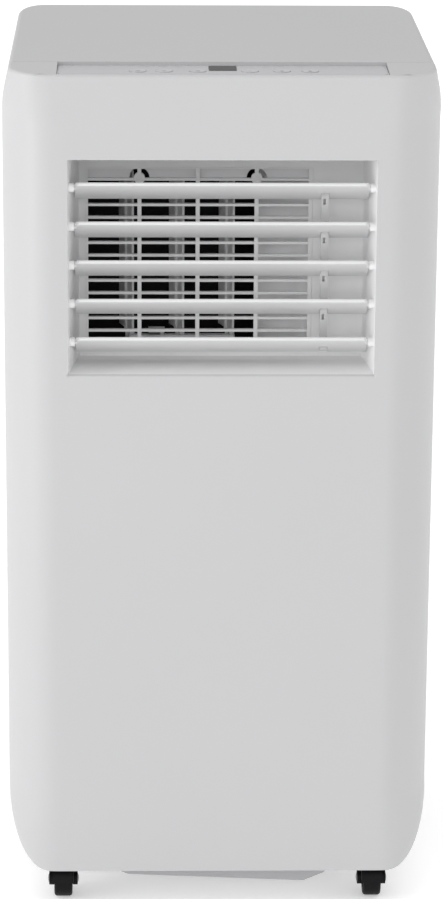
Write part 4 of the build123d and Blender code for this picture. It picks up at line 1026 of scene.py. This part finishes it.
def sign_bar(place, length, angle):
    """Thin printed bar."""
    bpy.ops.mesh.primitive_cube_add(size=1, location=place)
    bar = bpy.context.object
    open_whole(bar)
    resize(length, INK_WIDE, INK_THICK, place)
    bpy.ops.transform.rotate(value=angle, orient_axis="Z", center_override=place)
    bpy.ops.mesh.bevel(offset=INK_ROUND, segments=1, affect="EDGES")
    close_piece(bar)
    return bar


def sign_ring(place, radius):
    """Thin printed ring."""
    bpy.ops.mesh.primitive_torus_add(
        location=place, major_radius=radius, minor_radius=INK_WIDE / 2, major_segments=32, minor_segments=6
    )
    ring = bpy.context.object
    open_whole(ring)
    resize(1, 1, RING_FLAT, place)
    close_piece(ring)
    return ring


print("ink", round(INK_WIDE / MM, 2), "mm wide")

# %% [markdown]
# Each sign is a short list of its bars and rings: a bar's place, length and angle, or a ring's radius, in
# millimetres and degrees from the middle of the dish. Its parts are joined into one piece on the key.

# %% Six signs
SIGNS = (
    (("bar", 0, 0.9, 1.3, 90), ("ring", 1.5)),
    (("bar", 0, 0, 3.2, 0), ("bar", 0, 0, 3.2, 90)),
    (("ring", 1.6), ("bar", 0.3, 0, 1.0, 0), ("bar", 0, 0.4, 1.2, 90)),
    (("bar", 0, 0, 3.2, 0),),
    (("bar", 0, 0, 3.4, 0), ("bar", 0, 0, 3.4, 60), ("bar", 0, 0, 3.4, 120)),
    (("ring", 1.5), ("bar", 0, 0, 1.6, 45), ("bar", 0, 0, 1.6, 135)),
)
for node, cap, sign in zip(key_nodes, caps, SIGNS):
    low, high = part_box(node)
    dish = Vector(((low.x + high.x) / 2, (low.y + high.y) / 2, high.z - SIGN_DROP))
    marks = []
    for shape in sign:
        if shape[0] == "ring":
            marks.append(sign_ring(dish, shape[1] * MM))
        else:
            x, y, length, angle = shape[1:]
            marks.append(sign_bar(dish + Vector((x * MM, y * MM, 0)), length * MM, math.radians(angle)))
    bpy.ops.object.select_all(action="DESELECT")
    for mark in marks:
        mark.select_set(True)
    bpy.context.view_layer.objects.active = marks[0]
    if len(marks) > 1:
        bpy.ops.object.join()
    marks[0].name = node + "_sign"
    marks[0].data.materials.append(ink_grey)
    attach(marks[0], body_of[node])
    fit_out(cap, key_grey, node)

# %% [markdown]
# ## Casters
# Each caster is a black nylon wheel under a round hood, on an axle between two cheeks with grey domed caps.
# The hood is a softened copy. The wheel could be turned as a profile with spin, but insets on the ends of
# a short cylinder give its crowned tread, its recessed web and its hub in a few steps.

# %% Caster wheel
WEB_R, WEB_WIDE, WEB_DEEP = 10 * MM, 5.2 * MM, 1.4 * MM
HUB_HIGH = 1.2 * MM
WEB_BANK, HUB_BANK = 0.6 * MM, 0.4 * MM
TREAD_ROUND = 2.5 * MM


def caster_wheel(node):
    """Crowned wheel with a recessed web and a hub on each side."""
    low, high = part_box(node)
    middle = (low + high) / 2
    radius = (high.z - low.z) / 2
    width = high.x - low.x

    def tread_edge(place, edge):
        on_rim = abs((place - middle).yz.length - radius) < MARGIN
        return on_rim and abs(abs(place.x - middle.x) - width / 2) < HAIR

    wheel = rod_along_x(middle, radius, width, 64)
    wheel.name = node + "_tread"
    close_piece(wheel)
    open_piece(wheel)
    for side in (-1, 1):
        pick(wheel, "FACE", lambda c, n: n.x * side > 0.99)
        bpy.ops.mesh.inset(thickness=radius - WEB_R)
        bpy.ops.mesh.inset(thickness=WEB_BANK)
        move(x=-side * WEB_DEEP)
        bpy.ops.mesh.inset(thickness=WEB_WIDE)
        bpy.ops.mesh.inset(thickness=HUB_BANK)
        move(x=side * HUB_HIGH)
    pick(wheel, "EDGE", tread_edge)
    round_off(TREAD_ROUND, 5)
    soften(wheel, 0.2 * MM, angle=50)
    return wheel


print("wheel tread rounded by", round(TREAD_ROUND / MM, 1), "mm")

# %% [markdown]
# The same wheel and hood come four times, and each pair is placed and sized from its own CAD boxes. The
# caps on the axle's ends are spheres flattened into low domes, half sunk into the cheeks.

# %% Four casters
CAP_R, CAP_FLAT, CAP_SINK = 4.6 * MM, 0.35, 0.6 * MM
for place in ("front_left", "front_right", "rear_left", "rear_right"):
    fit_out(caster_wheel(f"caster_wheel_{place}"), nylon_black, f"caster_wheel_{place}")
    softened(f"caster_fork_{place}", nylon_black, 0.6 * MM, 45, 3)
    wheel_low, wheel_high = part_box(f"caster_wheel_{place}")
    fork_low, fork_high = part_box(f"caster_fork_{place}")
    axle = (wheel_low + wheel_high) / 2
    for side, cheek in ((-1, fork_low.x), (1, fork_high.x)):
        cap_at = (cheek - side * CAP_SINK, axle.y, axle.z)
        bpy.ops.mesh.primitive_uv_sphere_add(
            segments=24, ring_count=12, radius=CAP_R, location=cap_at, rotation=(0, math.pi / 2, 0)
        )
        cap = bpy.context.object
        cap.name = f"axle_cap_{place}_{'left' if side < 0 else 'right'}"
        close_piece(cap)
        open_whole(cap)
        resize(CAP_FLAT, 1, 1, cap_at)
        close_piece(cap)
        bpy.ops.object.shade_smooth()
        cap.data.materials.append(cap_grey)
        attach(cap, body_of[f"caster_fork_{place}"])

# %% [markdown]
# ## Pieces that keep their CAD shape
# The coils, blowers, compressor, pipes and screens are inside or flat, and their CAD shapes stay. They
# could be softened too, but nothing of their edges shows. Each one only gets its own finish.

# %% Finishes on CAD nodes
kept = {
    film_grey: ["control_film"],
    blower_black: [
        "evaporator_scroll", "condenser_scroll", "evaporator_wheel", "condenser_wheel", "drip_tray"
    ],
    motor_zinc: ["evaporator_motor", "condenser_motor", "electrical_box"],
    fin_aluminium: ["evaporator_coil", "condenser_coil"],
    compressor_black: ["compressor"],
    rubber_black: ["compressor_mounts"],
    pipe_copper: ["refrigerant_pipes"],
    filter_net: ["upper_filter", "lower_filter"],
    board_green: ["control_board"],
}
for material, names in kept.items():
    for name in names:
        node = nodes[name]
        for slot in node.material_slots:
            slot.material = material
        if not node.material_slots:
            node.data.materials.append(material)
print(sum(len(names) for names in kept.values()), "CAD nodes keep their shape")
